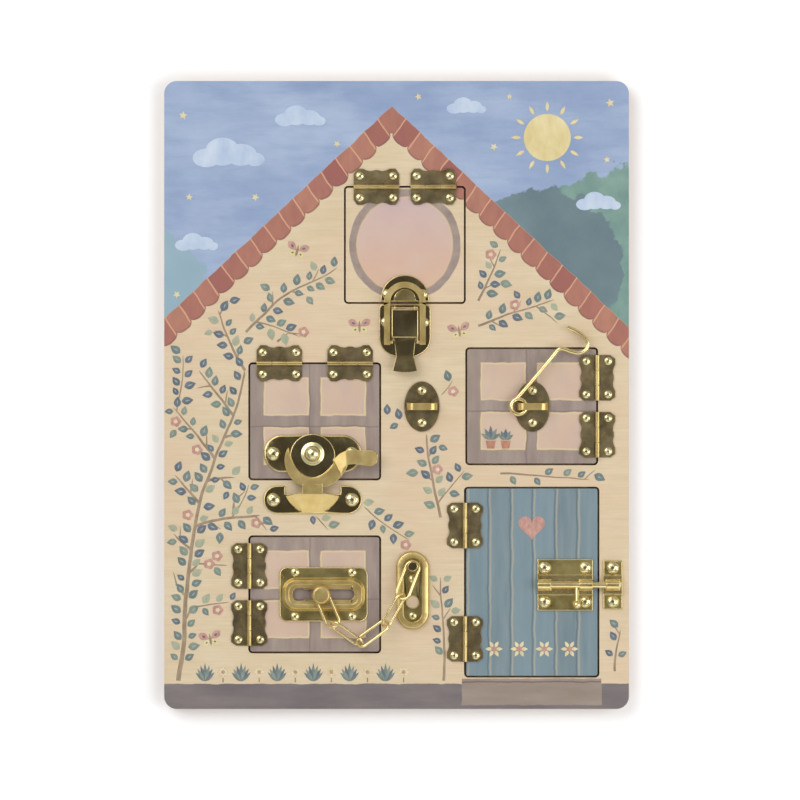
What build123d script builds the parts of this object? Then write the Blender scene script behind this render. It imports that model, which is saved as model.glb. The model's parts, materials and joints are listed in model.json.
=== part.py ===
from build123d import *
from math import atan2, cos, degrees, radians, sin
import os

os.makedirs("parts", exist_ok=True)

# A wooden lock board lying on its back. X runs to the right, Y up the picture and Z out of
# the front face. The origin is the middle of the back face. All lengths are millimetres.

# Board, back panel and the five flaps sawn out of the board
board_thickness = 8.0
back_thickness = 3.0
board_corner = 8.0
kerf = 1.2
flap_corner = 1.5
window_width = 83.4
window_height = 74.0
gable_window_width = 76.4
door_width = 85.0
door_height = 120.4
# Margins and gaps between the openings, from the board's left and lower edges
left_margin = 54.2
column_gap = 54.0
right_margin = 19.4
lower_margin = 36.0
lower_row_gap = 36.2
upper_row_gap = 38.4
top_margin = 67.4
door_margin = 20.6
door_window_gap = 14.8
gable_shift = 5.3

# Butt hinge with a waved edge
hinge_length = 29.0
leaf_reach = 11.5
leaf_thickness = 0.9
knuckle_radius = 1.55
knuckle_lift = 0.1
knuckle_gap = 0.25
leaf_gap = 0.3
hinge_pin_radius = 0.7
pin_clearance = 0.05
# Half of a leaf's free edge, from its end to its middle: shares of half the length and of the reach
leaf_edge_shares = ((1.0, 0.72), (0.84, 1.0), (0.58, 1.0), (0.40, 0.90), (0.20, 0.87), (0.0, 0.93))
leaf_screw_shares = (0.73, 0.60)
# How far each hinge stands from the middle of its edge, as a share of the edge
gable_hinge_share = 0.237
left_hinge_share = 0.27
side_hinge_share = 0.245
door_hinge_share = 0.30

# Round-headed wood screws: head radius, head height and shank
hinge_screw_radius = 2.7
hinge_screw_height = 1.6
plate_screw_radius = 3.0
plate_screw_height = 1.7
bolt_screw_radius = 3.8
bolt_screw_height = 2.2
lock_screw_radius = 4.3
lock_screw_height = 2.0
shank_radius = 1.1
shank_length = 6.0
head_sides = 10
shank_sides = 6
head_taper = 38.0
hole_clearance = 0.1

# Draw latch on the gable window
catch_radius = 15.2
catch_straight = 1.6
latch_plate_thickness = 1.0
latch_edge_gap = 1.0
catch_boss_radius = 6.6
catch_boss_height = 4.4
catch_boss_flare = 5.0
latch_base_width = 32.6
latch_base_length = 33.0
latch_base_corner = 12.0
latch_base_top_corner = 3.0
latch_screw_half_spacing = 12.2
catch_screw_half_spacing = 11.4
catch_screw_drop = 5.6
latch_screw_drop = 12.2
latch_pivot_drop = 3.6
latch_pivot_height = 4.0
latch_pin_radius = 1.0
ear_half_spacing = 6.3
ear_thickness = 1.0
ear_radius = 1.6
lever_half_width = 8.4
lever_thickness = 1.0
lever_panel_height = 5.9
lever_panel_length = 18.0
lever_fold_drop = 1.9
lever_fold_run = 2.2
lever_tail_length = 20.0
lever_tail_rise = 2.2
lever_tail_half_width = 6.6
lever_flange_depth = 3.1
bail_pivot_drop = 25.0
bail_width = 26.4
bail_band = 3.8
bail_thickness = 2.2
bail_lift = 3.1
bail_reach = 13.4
bail_foot = 3.2

# Sash lock on the left window: base and cam on the flap, keeper on the board
sash_shift = -1.3
sash_setback = 16.4
sash_base_length = 62.4
sash_base_width = 24.0
sash_plate_thickness = 1.2
sash_screw_half_spacing = 25.0
sash_boss_radius = 10.0
sash_boss_height = 1.3
cam_running_gap = 0.3
cam_radius = 21.4
cam_disc_radius = 14.4
cam_disc_drop = 1.8
cam_disc_thickness = 2.1
cam_rim_lift = 0.9
cam_rim_thickness = 2.4
# Outer and inner edge of the crescent, from its tip to the handle, as shares of the cam radius
cam_outer_shares = (
    (-0.71, 0.19),
    (-0.83, -0.23),
    (-0.50, -0.86),
    (0.0, -1.0),
    (0.49, -0.95),
    (0.87, -0.65),
    (1.05, -0.33),
)
cam_inner_shares = (
    (0.79, -0.07),
    (0.58, -0.37),
    (0.03, -0.72),
    (-0.39, -0.56),
    (-0.62, -0.21),
    (-0.71, 0.19),
)
# Plan of the handle, as shares of the cam radius: upper edge out, then lower edge back
handle_shares = (
    (0.62, -0.20),
    (0.90, 0.05),
    (1.14, 0.12),
    (1.55, 0.10),
    (1.88, 0.04),
    (1.95, -0.14),
    (1.82, -0.33),
    (1.45, -0.33),
    (1.06, -0.33),
    (0.84, -0.62),
)
handle_thickness = 2.2
handle_rise = 3.4
rivet_radius = 2.0
rivet_collar_radius = 7.4
rivet_collar_height = 1.0
rivet_dome_radius = 5.2
rivet_dome_height = 3.4
keeper_length = 62.4
keeper_width = 17.7
keeper_setback = 12.9
keeper_notch_width = 35.4
keeper_notch_depth = 5.3
keeper_tongue_height = 6.5
keeper_tongue_half_width = 6.4
keeper_tongue_reach = 7.0
keeper_foot_half_width = 17.0

# Door chain on the lower window
chain_plate_length = 56.0
chain_plate_width = 34.5
chain_plate_corner = 5.0
chain_plate_thickness = 1.0
chain_plate_shift_x = 5.6
chain_screw_half_spacing_x = 18.2
chain_screw_half_spacing_y = 14.0
channel_length = 53.0
channel_width = 21.7
channel_corner = 9.0
channel_height = 4.2
channel_taper = 25.0
channel_wall = 3.0
channel_recess = 0.8
channel_floor = 1.0
channel_rim = 4.5
slot_length = 39.4
slot_width = 6.6
keyhole_radius = 4.5
knob_rest_shift = -1.3
knob_flange_radius = 3.8
knob_flange_thickness = 1.4
knob_flange_lift = 0.5
knob_stem_radius = 2.6
knob_neck_radius = 1.8
knob_shoulder_height = 6.7
knob_neck_length = 3.0
knob_head_radius = 5.8
knob_head_height = 2.6
link_wire_radius = 0.92
link_inner_half_width = 3.38
link_pitch = 20.4
link_gap = 1.36
link_end_gap = 0.38
link_wire_sides = 8
# The five links from the knob to the post: direction in the board's plane and roll, in degrees
link_directions = (-67.0, -35.7, 36.3, 60.4, 69.0)
link_rolls = (-2.3, 56.6, -43.7, 54.6, -9.6)
# Height of the chain's joints above the front face, from the knob to the post
chain_knob_height = 8.2
chain_first_height = 8.31
chain_low_height = 6.48
chain_third_height = 8.56
chain_fourth_height = 8.8
chain_post_height = 8.2
anchor_length = 49.6
anchor_width = 20.8
anchor_thickness = 1.0
anchor_rim_height = 2.2
anchor_rim_width = 4.4
anchor_drop = 15.5
anchor_hole_radius = 4.0
anchor_hole_drop = 23.1
anchor_upper_screw_drop = 8.4
anchor_lower_screw_drop = 31.9
post_radius = 1.6
post_head_radius = 3.5
post_head_height = 1.4
post_offset = -0.3

# Hook and its two eye plates on the right window
eye_plate_half_width = 11.3
eye_plate_half_height = 16.0
eye_plate_thickness = 1.0
eye_plate_y_shift = -0.2
eye_plate_x_shift = 0.5
eye_screw_half_spacing = 10.2
arch_half_span = 9.0
arch_width = 4.4
arch_strip = 1.2
arch_height = 8.4
arch_corner = 3.2
catch_eye_gap = 70.4
hook_wire_radius = 1.35
hook_wire_sides = 8
hook_eye_radius = 4.85
hook_height = 4.95
hook_rest_angle = 50.0
hook_shank_offset = 3.9
hook_shank_length = 45.5
hook_bend_depth = 13.0
hook_bend_radius = 5.0
hook_bend_reach = 55.5
hook_tip_rise = 18.0
hook_tip_inset = 1.7
hook_neck_bend = 3.2

# Barrel bolt on the door
bolt_plate_length = 35.2
bolt_plate_width = 32.8
bolt_plate_thickness = 1.0
bolt_setback = 21.3
bolt_drop = 1.7
bolt_screw_half_spacing_x = 12.9
bolt_screw_half_spacing_y = 10.9
rod_radius = 2.1
rod_clearance = 0.1
rod_height = 3.7
rod_overhang_left = 1.6
rod_tip_reach = 35.2
rod_tip_chamfer = 0.6
strap_length = 8.5
strap_wall = 1.2
trough_half_width = 6.0
trough_rise = 0.9
knob_stem_shift = 7.4
bolt_knob_stem_radius = 1.1
bolt_knob_reach = 13.0
bolt_knob_radius = 2.6
bolt_knob_tilt = 15.0
bolt_knob_gap = 0.05
bolt_keeper_length = 12.0
bolt_keeper_width = 31.0
bolt_keeper_shift = 30.4
bolt_keeper_screw_half_spacing = 10.7

overrun = 20.0
board_width = left_margin + window_width + column_gap + door_width + right_margin
board_height = (
    lower_margin + lower_row_gap + upper_row_gap + top_margin + 3 * window_height
)
front_z = back_thickness + board_thickness
bore_radius = hinge_pin_radius + pin_clearance
axis_height = knuckle_radius + knuckle_lift

# Each opening's middle and size, and the direction from its hinge line into its flap
left_column = left_margin + window_width / 2 - board_width / 2
right_column = board_width / 2 - right_margin - door_width / 2
lower_row = lower_margin + window_height / 2 - board_height / 2
middle_row = lower_row + window_height + lower_row_gap
gable_row = middle_row + window_height + upper_row_gap
door_row = door_margin + door_height / 2 - board_height / 2
right_row = door_row + (door_height + window_height) / 2 + door_window_gap
openings = {
    "gable_window": (gable_shift, gable_row, gable_window_width, window_height),
    "left_window": (left_column, middle_row, window_width, window_height),
    "right_window": (right_column, right_row, window_width, window_height),
    "lower_window": (left_column, lower_row, window_width, window_height),
    "front_door": (right_column, door_row, door_width, door_height),
}
into_flap = {
    "gable_window": (0, -1),
    "left_window": (0, -1),
    "right_window": (-1, 0),
    "lower_window": (1, 0),
    "front_door": (1, 0),
}
hinge_share = {
    "gable_window": gable_hinge_share,
    "left_window": left_hinge_share,
    "right_window": side_hinge_share,
    "lower_window": side_hinge_share,
    "front_door": door_hinge_share,
}
screws = {name: [] for name in ["board", *openings]}


def finish(piece, name):
    piece.label = name
    export_step(piece, "parts/" + name + ".step")


def add_screw(body, x, y, seat, radius, height):
    screws[body].append((x, y, seat, radius, height))


# Hinges: two on each flap


def hinge_planes(name):
    x, y, width, height = openings[name]
    out_x, out_y = into_flap[name]
    across = hinge_share[name] * (height if out_x else width)
    edge_x = x - out_x * width / 2
    edge_y = y - out_y * height / 2
    planes = []
    for side in (-1, 1):
        origin = (edge_x + side * abs(out_y) * across, edge_y + side * abs(out_x) * across, front_z)
        planes.append(Plane(origin, x_dir=(out_y, -out_x, 0), z_dir=(0, 0, 1)))
    return planes


def across_the_axis(plane, along):
    """The plane square to a hinge's axis, a distance along it from the middle of the hinge."""
    origin = plane.origin + plane.x_dir * along + plane.z_dir * axis_height
    return Plane(origin, x_dir=plane.y_dir, z_dir=plane.x_dir)


def hinge_leaves(planes, spans):
    """Leaves that lie on the positive Y side of their planes, with a knuckle on each span."""
    half = hinge_length / 2
    start = knuckle_radius + leaf_gap
    edge = [(along * half, out * leaf_reach) for along, out in leaf_edge_shares]
    left = [(-along, out) for along, out in reversed(edge)]
    screw_x = leaf_screw_shares[0] * half
    screw_y = leaf_screw_shares[1] * leaf_reach
    turn = degrees(atan2(planes[0].x_dir.Y, planes[0].x_dir.X))
    with BuildPart() as leaves:
        for plane in planes:
            with BuildSketch(plane):
                with BuildLine():
                    Line((-half, start), (half, start))
                    Polyline((half, start), edge[0], edge[1], edge[2])
                    ThreePointArc(edge[2], edge[3], edge[4])
                    ThreePointArc(edge[4], edge[5], left[1])
                    ThreePointArc(left[1], left[2], left[3])
                    Polyline(left[3], left[4], left[5], (-half, start))
                make_face()
                for low, high in spans:
                    with Locations(((low + high) / 2, start / 2)):
                        Rectangle(high - low, start)
                with Locations((-screw_x, screw_y), (screw_x, screw_y)):
                    RegularPolygon(
                        shank_radius + hole_clearance, shank_sides, rotation=-turn, mode=Mode.SUBTRACT
                    )
            extrude(amount=leaf_thickness)
            for low, high in spans:
                with BuildSketch(across_the_axis(plane, low)):
                    Circle(knuckle_radius)
                extrude(amount=high - low)
            with BuildSketch(across_the_axis(plane, -half)):
                Circle(bore_radius)
            extrude(amount=hinge_length, mode=Mode.SUBTRACT)
    return leaves.part


def turned(plane):
    return Plane(plane.origin, x_dir=plane.x_dir * -1, z_dir=plane.z_dir)


half_hinge = hinge_length / 2
third = hinge_length / 6
outer_spans = ((-half_hinge, -third - knuckle_gap / 2), (third + knuckle_gap / 2, half_hinge))
middle_span = ((-third + knuckle_gap / 2, third - knuckle_gap / 2),)

for name in openings:
    planes = hinge_planes(name)
    frame_planes = [turned(plane) for plane in planes]
    finish(hinge_leaves(planes, middle_span), name + "_hinge_flap_leaves")
    finish(hinge_leaves(frame_planes, outer_spans), name + "_hinge_frame_leaves")
    with BuildPart() as pins:
        for plane in planes:
            with BuildSketch(across_the_axis(plane, -half_hinge)):
                Circle(hinge_pin_radius)
            extrude(amount=hinge_length)
    finish(pins.part, name + "_hinge_pins")
    for body, sides in ((name, planes), ("board", frame_planes)):
        for plane in sides:
            for side in (-1, 1):
                local = (side * leaf_screw_shares[0] * half_hinge, leaf_screw_shares[1] * leaf_reach)
                spot = plane.from_local_coords(Vector(local[0], local[1], leaf_thickness))
                add_screw(body, spot.X, spot.Y, spot.Z, hinge_screw_radius, hinge_screw_height)

# Draw latch: catch on the gable window, base, lever and bail on the board below it

latch_x = openings["gable_window"][0]
latch_y = openings["gable_window"][1] - window_height / 2
latch_plane = Plane((latch_x, latch_y, front_z))
latch_side = Plane((latch_x, latch_y, front_z), x_dir=(0, 1, 0), z_dir=(1, 0, 0))
catch_middle = latch_edge_gap + catch_straight

with BuildPart() as latch_catch:
    with BuildSketch(latch_plane):
        with BuildLine():
            Polyline(
                (-catch_radius, catch_middle),
                (-catch_radius, latch_edge_gap),
                (catch_radius, latch_edge_gap),
                (catch_radius, catch_middle),
            )
            ThreePointArc(
                (catch_radius, catch_middle),
                (0, catch_middle + catch_radius),
                (-catch_radius, catch_middle),
            )
        make_face()
        with Locations(
            (-catch_screw_half_spacing, catch_screw_drop),
            (catch_screw_half_spacing, catch_screw_drop),
        ):
            RegularPolygon(shank_radius + hole_clearance, shank_sides, mode=Mode.SUBTRACT)
    extrude(amount=latch_plate_thickness)
    with BuildSketch(latch_plane.offset(latch_plate_thickness)):
        with BuildLine():
            Polyline(
                (-catch_boss_radius, latch_edge_gap + catch_straight / 2),
                (catch_boss_radius, latch_edge_gap + catch_straight / 2),
            )
            ThreePointArc(
                (catch_boss_radius, latch_edge_gap + catch_straight / 2),
                (0, latch_edge_gap + catch_straight / 2 + catch_boss_radius),
                (-catch_boss_radius, latch_edge_gap + catch_straight / 2),
            )
        make_face()
    extrude(amount=catch_boss_height, taper=-catch_boss_flare)
finish(latch_catch.part, "latch_catch")
for side in (-1, 1):
    seat = front_z + latch_plate_thickness
    add_screw(
        "gable_window",
        latch_x + side * catch_screw_half_spacing,
        latch_y + catch_screw_drop,
        seat,
        plate_screw_radius,
        plate_screw_height,
    )
    add_screw(
        "board",
        latch_x + side * latch_screw_half_spacing,
        latch_y - latch_screw_drop,
        seat,
        plate_screw_radius,
        plate_screw_height,
    )

pivot = (-latch_pivot_drop, latch_pivot_height)
with BuildPart() as latch_base:
    with BuildSketch(latch_plane) as plan:
        with Locations((0, -latch_edge_gap - latch_base_length / 2)):
            Rectangle(latch_base_width, latch_base_length)
        fillet(plan.vertices().sort_by(Axis.Y)[:2], latch_base_corner)
        fillet(plan.vertices().sort_by(Axis.Y)[-2:], latch_base_top_corner)
        with Locations(
            (-latch_screw_half_spacing, -latch_screw_drop),
            (latch_screw_half_spacing, -latch_screw_drop),
        ):
            RegularPolygon(shank_radius + hole_clearance, shank_sides, mode=Mode.SUBTRACT)
    extrude(amount=latch_plate_thickness)
    for side in (-1, 1):
        with BuildSketch(latch_side.offset(side * ear_half_spacing - ear_thickness / 2)):
            with Locations(pivot):
                Circle(ear_radius)
            with Locations((pivot[0], pivot[1] / 2)):
                Rectangle(2 * ear_radius, pivot[1])
            with Locations(pivot):
                Circle(latch_pin_radius + pin_clearance, mode=Mode.SUBTRACT)
        extrude(amount=ear_thickness)
finish(latch_base.part, "latch_base")

with BuildPart() as latch_pin:
    with BuildSketch(latch_side.offset(-lever_half_width)):
        with Locations(pivot):
            Circle(latch_pin_radius)
    extrude(amount=2 * lever_half_width)
finish(latch_pin.part, "latch_pivot_pin")

panel_start = -latch_pivot_drop - latch_pin_radius / 2
panel_end = panel_start - lever_panel_length
tail_start = panel_end - lever_fold_run
tail_end = tail_start - lever_tail_length
panel_top = lever_panel_height + lever_thickness
flange_bottom = lever_flange_depth
bail_pivot = (-bail_pivot_drop, bail_lift + bail_thickness / 2)
with BuildPart() as latch_lever:
    with BuildSketch(latch_side.offset(-lever_half_width)):
        with BuildLine():
            Polyline(
                (panel_start, lever_panel_height),
                (panel_end, lever_panel_height),
                (tail_start, lever_panel_height - lever_fold_drop),
                (tail_end, lever_panel_height - lever_fold_drop + lever_tail_rise),
                (tail_end, panel_top - lever_fold_drop + lever_tail_rise),
                (tail_start, panel_top - lever_fold_drop),
                (panel_end, panel_top),
                (panel_start, panel_top),
                close=True,
            )
        make_face()
    extrude(amount=2 * lever_half_width)
    with BuildSketch(latch_plane):
        with BuildLine():
            Polyline(
                (-lever_half_width, panel_start),
                (lever_half_width, panel_start),
                (lever_half_width, panel_end),
                (lever_tail_half_width, tail_start),
                (lever_tail_half_width - lever_thickness, (tail_start + tail_end) / 2),
                (lever_half_width - lever_thickness / 2, tail_end + lever_thickness),
            )
            ThreePointArc(
                (lever_half_width - lever_thickness / 2, tail_end + lever_thickness),
                (0, tail_end),
                (-lever_half_width + lever_thickness / 2, tail_end + lever_thickness),
            )
            Polyline(
                (-lever_half_width + lever_thickness / 2, tail_end + lever_thickness),
                (-lever_tail_half_width + lever_thickness, (tail_start + tail_end) / 2),
                (-lever_tail_half_width, tail_start),
                (-lever_half_width, panel_end),
                (-lever_half_width, panel_start),
            )
        make_face()
    extrude(amount=overrun, mode=Mode.INTERSECT)
    for low in (-lever_half_width, lever_half_width - lever_thickness):
        with BuildSketch(latch_side.offset(low)):
            with BuildLine():
                Polyline(
                    (panel_start, panel_top),
                    (panel_end, panel_top),
                    (-bail_pivot_drop - latch_pin_radius, bail_pivot[1] + latch_pin_radius),
                    (-bail_pivot_drop - latch_pin_radius, flange_bottom),
                    (panel_start - latch_pin_radius, flange_bottom),
                    (panel_start, pivot[1] - latch_pin_radius / 2),
                    close=True,
                )
            make_face()
            with Locations(pivot):
                Circle(ear_radius)
            with Locations(pivot, bail_pivot):
                Circle(latch_pin_radius + pin_clearance, mode=Mode.SUBTRACT)
        extrude(amount=lever_thickness)
finish(latch_lever.part, "latch_lever")

bail_outer = bail_width / 2
bail_inner = bail_outer - bail_band
bail_arc_y = bail_reach - bail_outer
foot_y = -bail_pivot_drop
leg_end = foot_y - bail_foot / 2
with BuildPart() as latch_bail:
    with BuildSketch(latch_plane.offset(bail_lift)):
        with Locations((0, bail_arc_y)):
            Circle(bail_outer)
        with Locations((0, (bail_arc_y + leg_end) / 2)):
            Rectangle(bail_width, bail_arc_y - leg_end)
        with Locations((0, bail_arc_y)):
            Circle(bail_inner, mode=Mode.SUBTRACT)
        with Locations((0, (bail_arc_y + leg_end) / 2)):
            Rectangle(2 * bail_inner, bail_arc_y - leg_end, mode=Mode.SUBTRACT)
    extrude(amount=bail_thickness)
    for side in (-1, 1):
        with BuildSketch(latch_side):
            with Locations(bail_pivot):
                Circle(latch_pin_radius)
        extrude(amount=side * bail_outer)
    with BuildSketch(latch_side.offset(-lever_half_width + lever_thickness)):
        with Locations(bail_pivot):
            Circle(ear_radius)
    extrude(amount=2 * (lever_half_width - lever_thickness), mode=Mode.SUBTRACT)
finish(latch_bail.part, "latch_bail")

# Sash lock

sash_x = openings["left_window"][0] + sash_shift
sash_y = openings["left_window"][1] - window_height / 2 + sash_setback
sash_plane = Plane((sash_x, sash_y, front_z))
boss_top = sash_plate_thickness + sash_boss_height
disc_low = boss_top + cam_running_gap
rim_low = disc_low + cam_rim_lift
rim_top = rim_low + cam_rim_thickness

with BuildPart() as sash_base:
    with BuildSketch(sash_plane):
        SlotOverall(sash_base_length, sash_base_width)
        with Locations((-sash_screw_half_spacing, 0), (sash_screw_half_spacing, 0)):
            RegularPolygon(shank_radius + hole_clearance, shank_sides, mode=Mode.SUBTRACT)
    extrude(amount=sash_plate_thickness)
    chamfer(sash_base.edges().group_by(Axis.Z)[-1].filter_by(GeomType.LINE).group_by(SortBy.LENGTH)[-1],
            sash_plate_thickness / 2)
    with BuildSketch(sash_plane.offset(sash_plate_thickness)):
        Circle(sash_boss_radius)
    extrude(amount=sash_boss_height)
    with BuildSketch(sash_plane):
        Circle(rivet_radius + pin_clearance)
    extrude(amount=overrun, mode=Mode.SUBTRACT)
finish(sash_base.part, "sash_lock_base")


def scaled(shares, size):
    return [(along * size, out * size) for along, out in shares]


cam_outer = scaled(cam_outer_shares, cam_radius)
cam_inner = scaled(cam_inner_shares, cam_radius)
handle_plan = scaled(handle_shares, cam_radius)
sash_front = Plane((sash_x, sash_y, front_z), x_dir=(1, 0, 0), z_dir=(0, -1, 0))
handle_out = max(point[0] for point in handle_plan)
handle_in = min(point[0] for point in handle_plan)
with BuildPart() as cam_handle:
    with BuildSketch(sash_front.offset(-cam_radius)):
        with BuildLine():
            Polyline(
                (handle_in, rim_low),
                (cam_radius, rim_low + cam_rim_lift),
                (handle_out, rim_low + handle_rise),
                (handle_out, rim_low + handle_rise + handle_thickness),
                (cam_radius, rim_top + handle_thickness),
                (handle_in, rim_top),
                close=True,
            )
        make_face()
    extrude(amount=2 * cam_radius)
    with BuildSketch(sash_plane):
        with BuildLine():
            Spline(*handle_plan)
            Line(handle_plan[-1], handle_plan[0])
        make_face()
    extrude(amount=overrun, mode=Mode.INTERSECT)

with BuildPart() as sash_cam:
    with BuildSketch(sash_plane.offset(disc_low)):
        with Locations((0, -cam_disc_drop)):
            Circle(cam_disc_radius)
    extrude(amount=cam_disc_thickness)
    with BuildSketch(sash_plane.offset(rim_low)):
        with BuildLine():
            Spline(*cam_outer)
            Line(cam_outer[-1], cam_inner[0])
            Spline(*cam_inner)
        make_face()
    extrude(amount=cam_rim_thickness)
    add(cam_handle.part)
    with BuildSketch(sash_plane):
        Circle(rivet_radius + pin_clearance)
    extrude(amount=overrun, mode=Mode.SUBTRACT)
finish(sash_cam.part, "sash_lock_cam")

collar_low = disc_low + cam_disc_thickness + cam_running_gap
dome_top = collar_low + rivet_collar_height + rivet_dome_height
with BuildPart() as sash_rivet:
    with BuildSketch(sash_front):
        with BuildLine():
            Polyline(
                (0, 0),
                (rivet_radius, 0),
                (rivet_radius, collar_low),
                (rivet_collar_radius, collar_low),
                (rivet_collar_radius, collar_low + rivet_collar_height / 2),
                (rivet_dome_radius, collar_low + rivet_collar_height),
            )
            TangentArc(
                (0, dome_top),
                (rivet_dome_radius, collar_low + rivet_collar_height),
                tangent=(1, 0),
            )
            Line((0, dome_top), (0, 0))
        make_face()
    revolve(axis=Axis((sash_x, sash_y, front_z), (0, 0, 1)))
finish(sash_rivet.part, "sash_lock_rivet")

keeper_y = openings["left_window"][1] - window_height / 2 - keeper_setback
keeper_plane = Plane((sash_x, keeper_y, front_z))
keeper_side = Plane((sash_x, keeper_y, front_z), x_dir=(0, 1, 0), z_dir=(1, 0, 0))
keeper_half = keeper_width / 2
notch_bottom = keeper_half - keeper_notch_depth
tongue_tip = sash_y - cam_radius + keeper_tongue_reach / 3 - keeper_y
tongue_root = tongue_tip - keeper_tongue_reach
with BuildPart() as keeper_tongue:
    with BuildSketch(keeper_side.offset(-keeper_foot_half_width)):
        with BuildLine():
            Polyline(
                (tongue_tip, keeper_tongue_height),
                (tongue_root, keeper_tongue_height),
                (-keeper_half + sash_plate_thickness, 0),
                (-keeper_half + sash_plate_thickness, sash_plate_thickness),
                (tongue_root, keeper_tongue_height + sash_plate_thickness),
                (tongue_tip, keeper_tongue_height + sash_plate_thickness),
                close=True,
            )
        make_face()
    extrude(amount=2 * keeper_foot_half_width)
    with BuildSketch(keeper_plane):
        with BuildLine():
            Polyline(
                (-keeper_foot_half_width, notch_bottom - sash_plate_thickness),
                (-keeper_tongue_half_width, tongue_root + sash_plate_thickness),
                (-keeper_tongue_half_width, tongue_tip),
                (keeper_tongue_half_width, tongue_tip),
                (keeper_tongue_half_width, tongue_root + sash_plate_thickness),
                (keeper_foot_half_width, notch_bottom - sash_plate_thickness),
            )
            ThreePointArc(
                (keeper_foot_half_width, notch_bottom - sash_plate_thickness),
                (0, -keeper_half),
                (-keeper_foot_half_width, notch_bottom - sash_plate_thickness),
            )
        make_face()
    extrude(amount=overrun, mode=Mode.INTERSECT)

with BuildPart() as sash_keeper:
    with BuildSketch(keeper_plane):
        SlotOverall(keeper_length, keeper_width)
        with Locations((0, keeper_half - keeper_notch_depth / 2)):
            Rectangle(keeper_notch_width, keeper_notch_depth, mode=Mode.SUBTRACT)
        with Locations((-sash_screw_half_spacing, 0), (sash_screw_half_spacing, 0)):
            RegularPolygon(shank_radius + hole_clearance, shank_sides, mode=Mode.SUBTRACT)
    extrude(amount=sash_plate_thickness)
    add(keeper_tongue.part)
finish(sash_keeper.part, "sash_lock_keeper")
for side in (-1, 1):
    seat = front_z + sash_plate_thickness
    across = sash_x + side * sash_screw_half_spacing
    add_screw("left_window", across, sash_y, seat, lock_screw_radius, lock_screw_height)
    add_screw("board", across, keeper_y, seat, lock_screw_radius, lock_screw_height)

# Door chain: slide plate and knob on the lower window, five links and an anchor on the board

chain_x = openings["lower_window"][0] + chain_plate_shift_x
chain_y = openings["lower_window"][1]
chain_plane = Plane((chain_x, chain_y, front_z))
keyhole_x = -slot_length / 2 + keyhole_radius
floor_low = channel_height - channel_recess - channel_floor

with BuildPart() as chain_plate:
    with BuildSketch(chain_plane):
        RectangleRounded(chain_plate_length, chain_plate_width, chain_plate_corner)
        with GridLocations(2 * chain_screw_half_spacing_x, 2 * chain_screw_half_spacing_y, 2, 2):
            RegularPolygon(shank_radius + hole_clearance, shank_sides, mode=Mode.SUBTRACT)
    extrude(amount=chain_plate_thickness)
    with BuildSketch(chain_plane):
        RectangleRounded(channel_length, channel_width, channel_corner)
    extrude(amount=channel_height, taper=channel_taper)
    with BuildSketch(chain_plane.offset(channel_height - channel_recess)):
        RectangleRounded(
            channel_length - 2 * channel_rim,
            channel_width - 2 * channel_rim,
            channel_corner - channel_rim,
        )
    extrude(amount=channel_recess, mode=Mode.SUBTRACT)
    with BuildSketch(chain_plane):
        RectangleRounded(
            channel_length - 2 * channel_wall,
            channel_width - 2 * channel_wall,
            channel_corner - channel_wall,
        )
    extrude(amount=floor_low, mode=Mode.SUBTRACT)
    with BuildSketch(chain_plane):
        SlotOverall(slot_length, slot_width)
        with Locations((keyhole_x, 0)):
            Circle(keyhole_radius)
    extrude(amount=channel_height, mode=Mode.SUBTRACT)
finish(chain_plate.part, "chain_slide_plate")
for side_x in (-1, 1):
    for side_y in (-1, 1):
        add_screw(
            "lower_window",
            chain_x + side_x * chain_screw_half_spacing_x,
            chain_y + side_y * chain_screw_half_spacing_y,
            front_z + chain_plate_thickness,
            hinge_screw_radius,
            hinge_screw_height,
        )

knob_x = chain_x + knob_rest_shift
knob_front = Plane((knob_x, chain_y, front_z), x_dir=(1, 0, 0), z_dir=(0, -1, 0))
flange_top = knob_flange_lift + knob_flange_thickness
neck_top = knob_shoulder_height + knob_neck_length
with BuildPart() as chain_knob:
    with BuildSketch(knob_front):
        with BuildLine():
            Polyline(
                (0, knob_flange_lift),
                (knob_flange_radius, knob_flange_lift),
                (knob_flange_radius, flange_top),
                (knob_stem_radius, flange_top),
                (knob_stem_radius, knob_shoulder_height),
                (knob_neck_radius, knob_shoulder_height),
                (knob_neck_radius, neck_top),
                (knob_head_radius, neck_top),
                (knob_head_radius, neck_top + knob_head_height / 2),
                (knob_head_radius - knob_head_height / 2, neck_top + knob_head_height),
                (0, neck_top + knob_head_height),
                close=True,
            )
        make_face()
    revolve(axis=Axis((knob_x, chain_y, front_z), (0, 0, 1)))
finish(chain_knob.part, "chain_knob")

joint_heights = (
    chain_knob_height,
    chain_first_height,
    chain_low_height,
    chain_third_height,
    chain_fourth_height,
    chain_post_height,
)
chain_joints = [Vector(knob_x, chain_y, front_z + joint_heights[0])]
for direction, height in zip(link_directions, joint_heights[1:]):
    last = chain_joints[-1]
    chain_joints.append(
        Vector(
            last.X + link_pitch * cos(radians(direction)),
            last.Y + link_pitch * sin(radians(direction)),
            front_z + height,
        )
    )


def chain_link(start, end, roll, start_reach, end_reach):
    """A long oval link round two joints, rolled about the line that joins them."""
    along = (end - start).normalized()
    side = Vector(0, 0, 1).cross(along).normalized()
    across = side.rotate(Axis((0, 0, 0), tuple(along)), roll)
    middle = link_inner_half_width + link_wire_radius
    length = (end - start).length + start_reach + end_reach - 2 * middle
    first = start + along * (middle - start_reach)
    with BuildPart() as link:
        for turn in (-1, 1):
            origin = first + across * (turn * middle)
            with BuildSketch(Plane(origin, x_dir=across, z_dir=along)):
                RegularPolygon(link_wire_radius, link_wire_sides)
            extrude(amount=length)
        normal = along.cross(across)
        for centre, turn in ((first, 1), (first + along * length, -1)):
            origin = centre + across * (turn * middle)
            with BuildSketch(Plane(origin, x_dir=across, z_dir=along)):
                RegularPolygon(link_wire_radius, link_wire_sides)
            revolve(axis=Axis(tuple(centre), tuple(normal)), revolution_arc=180)
    return link.part


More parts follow.
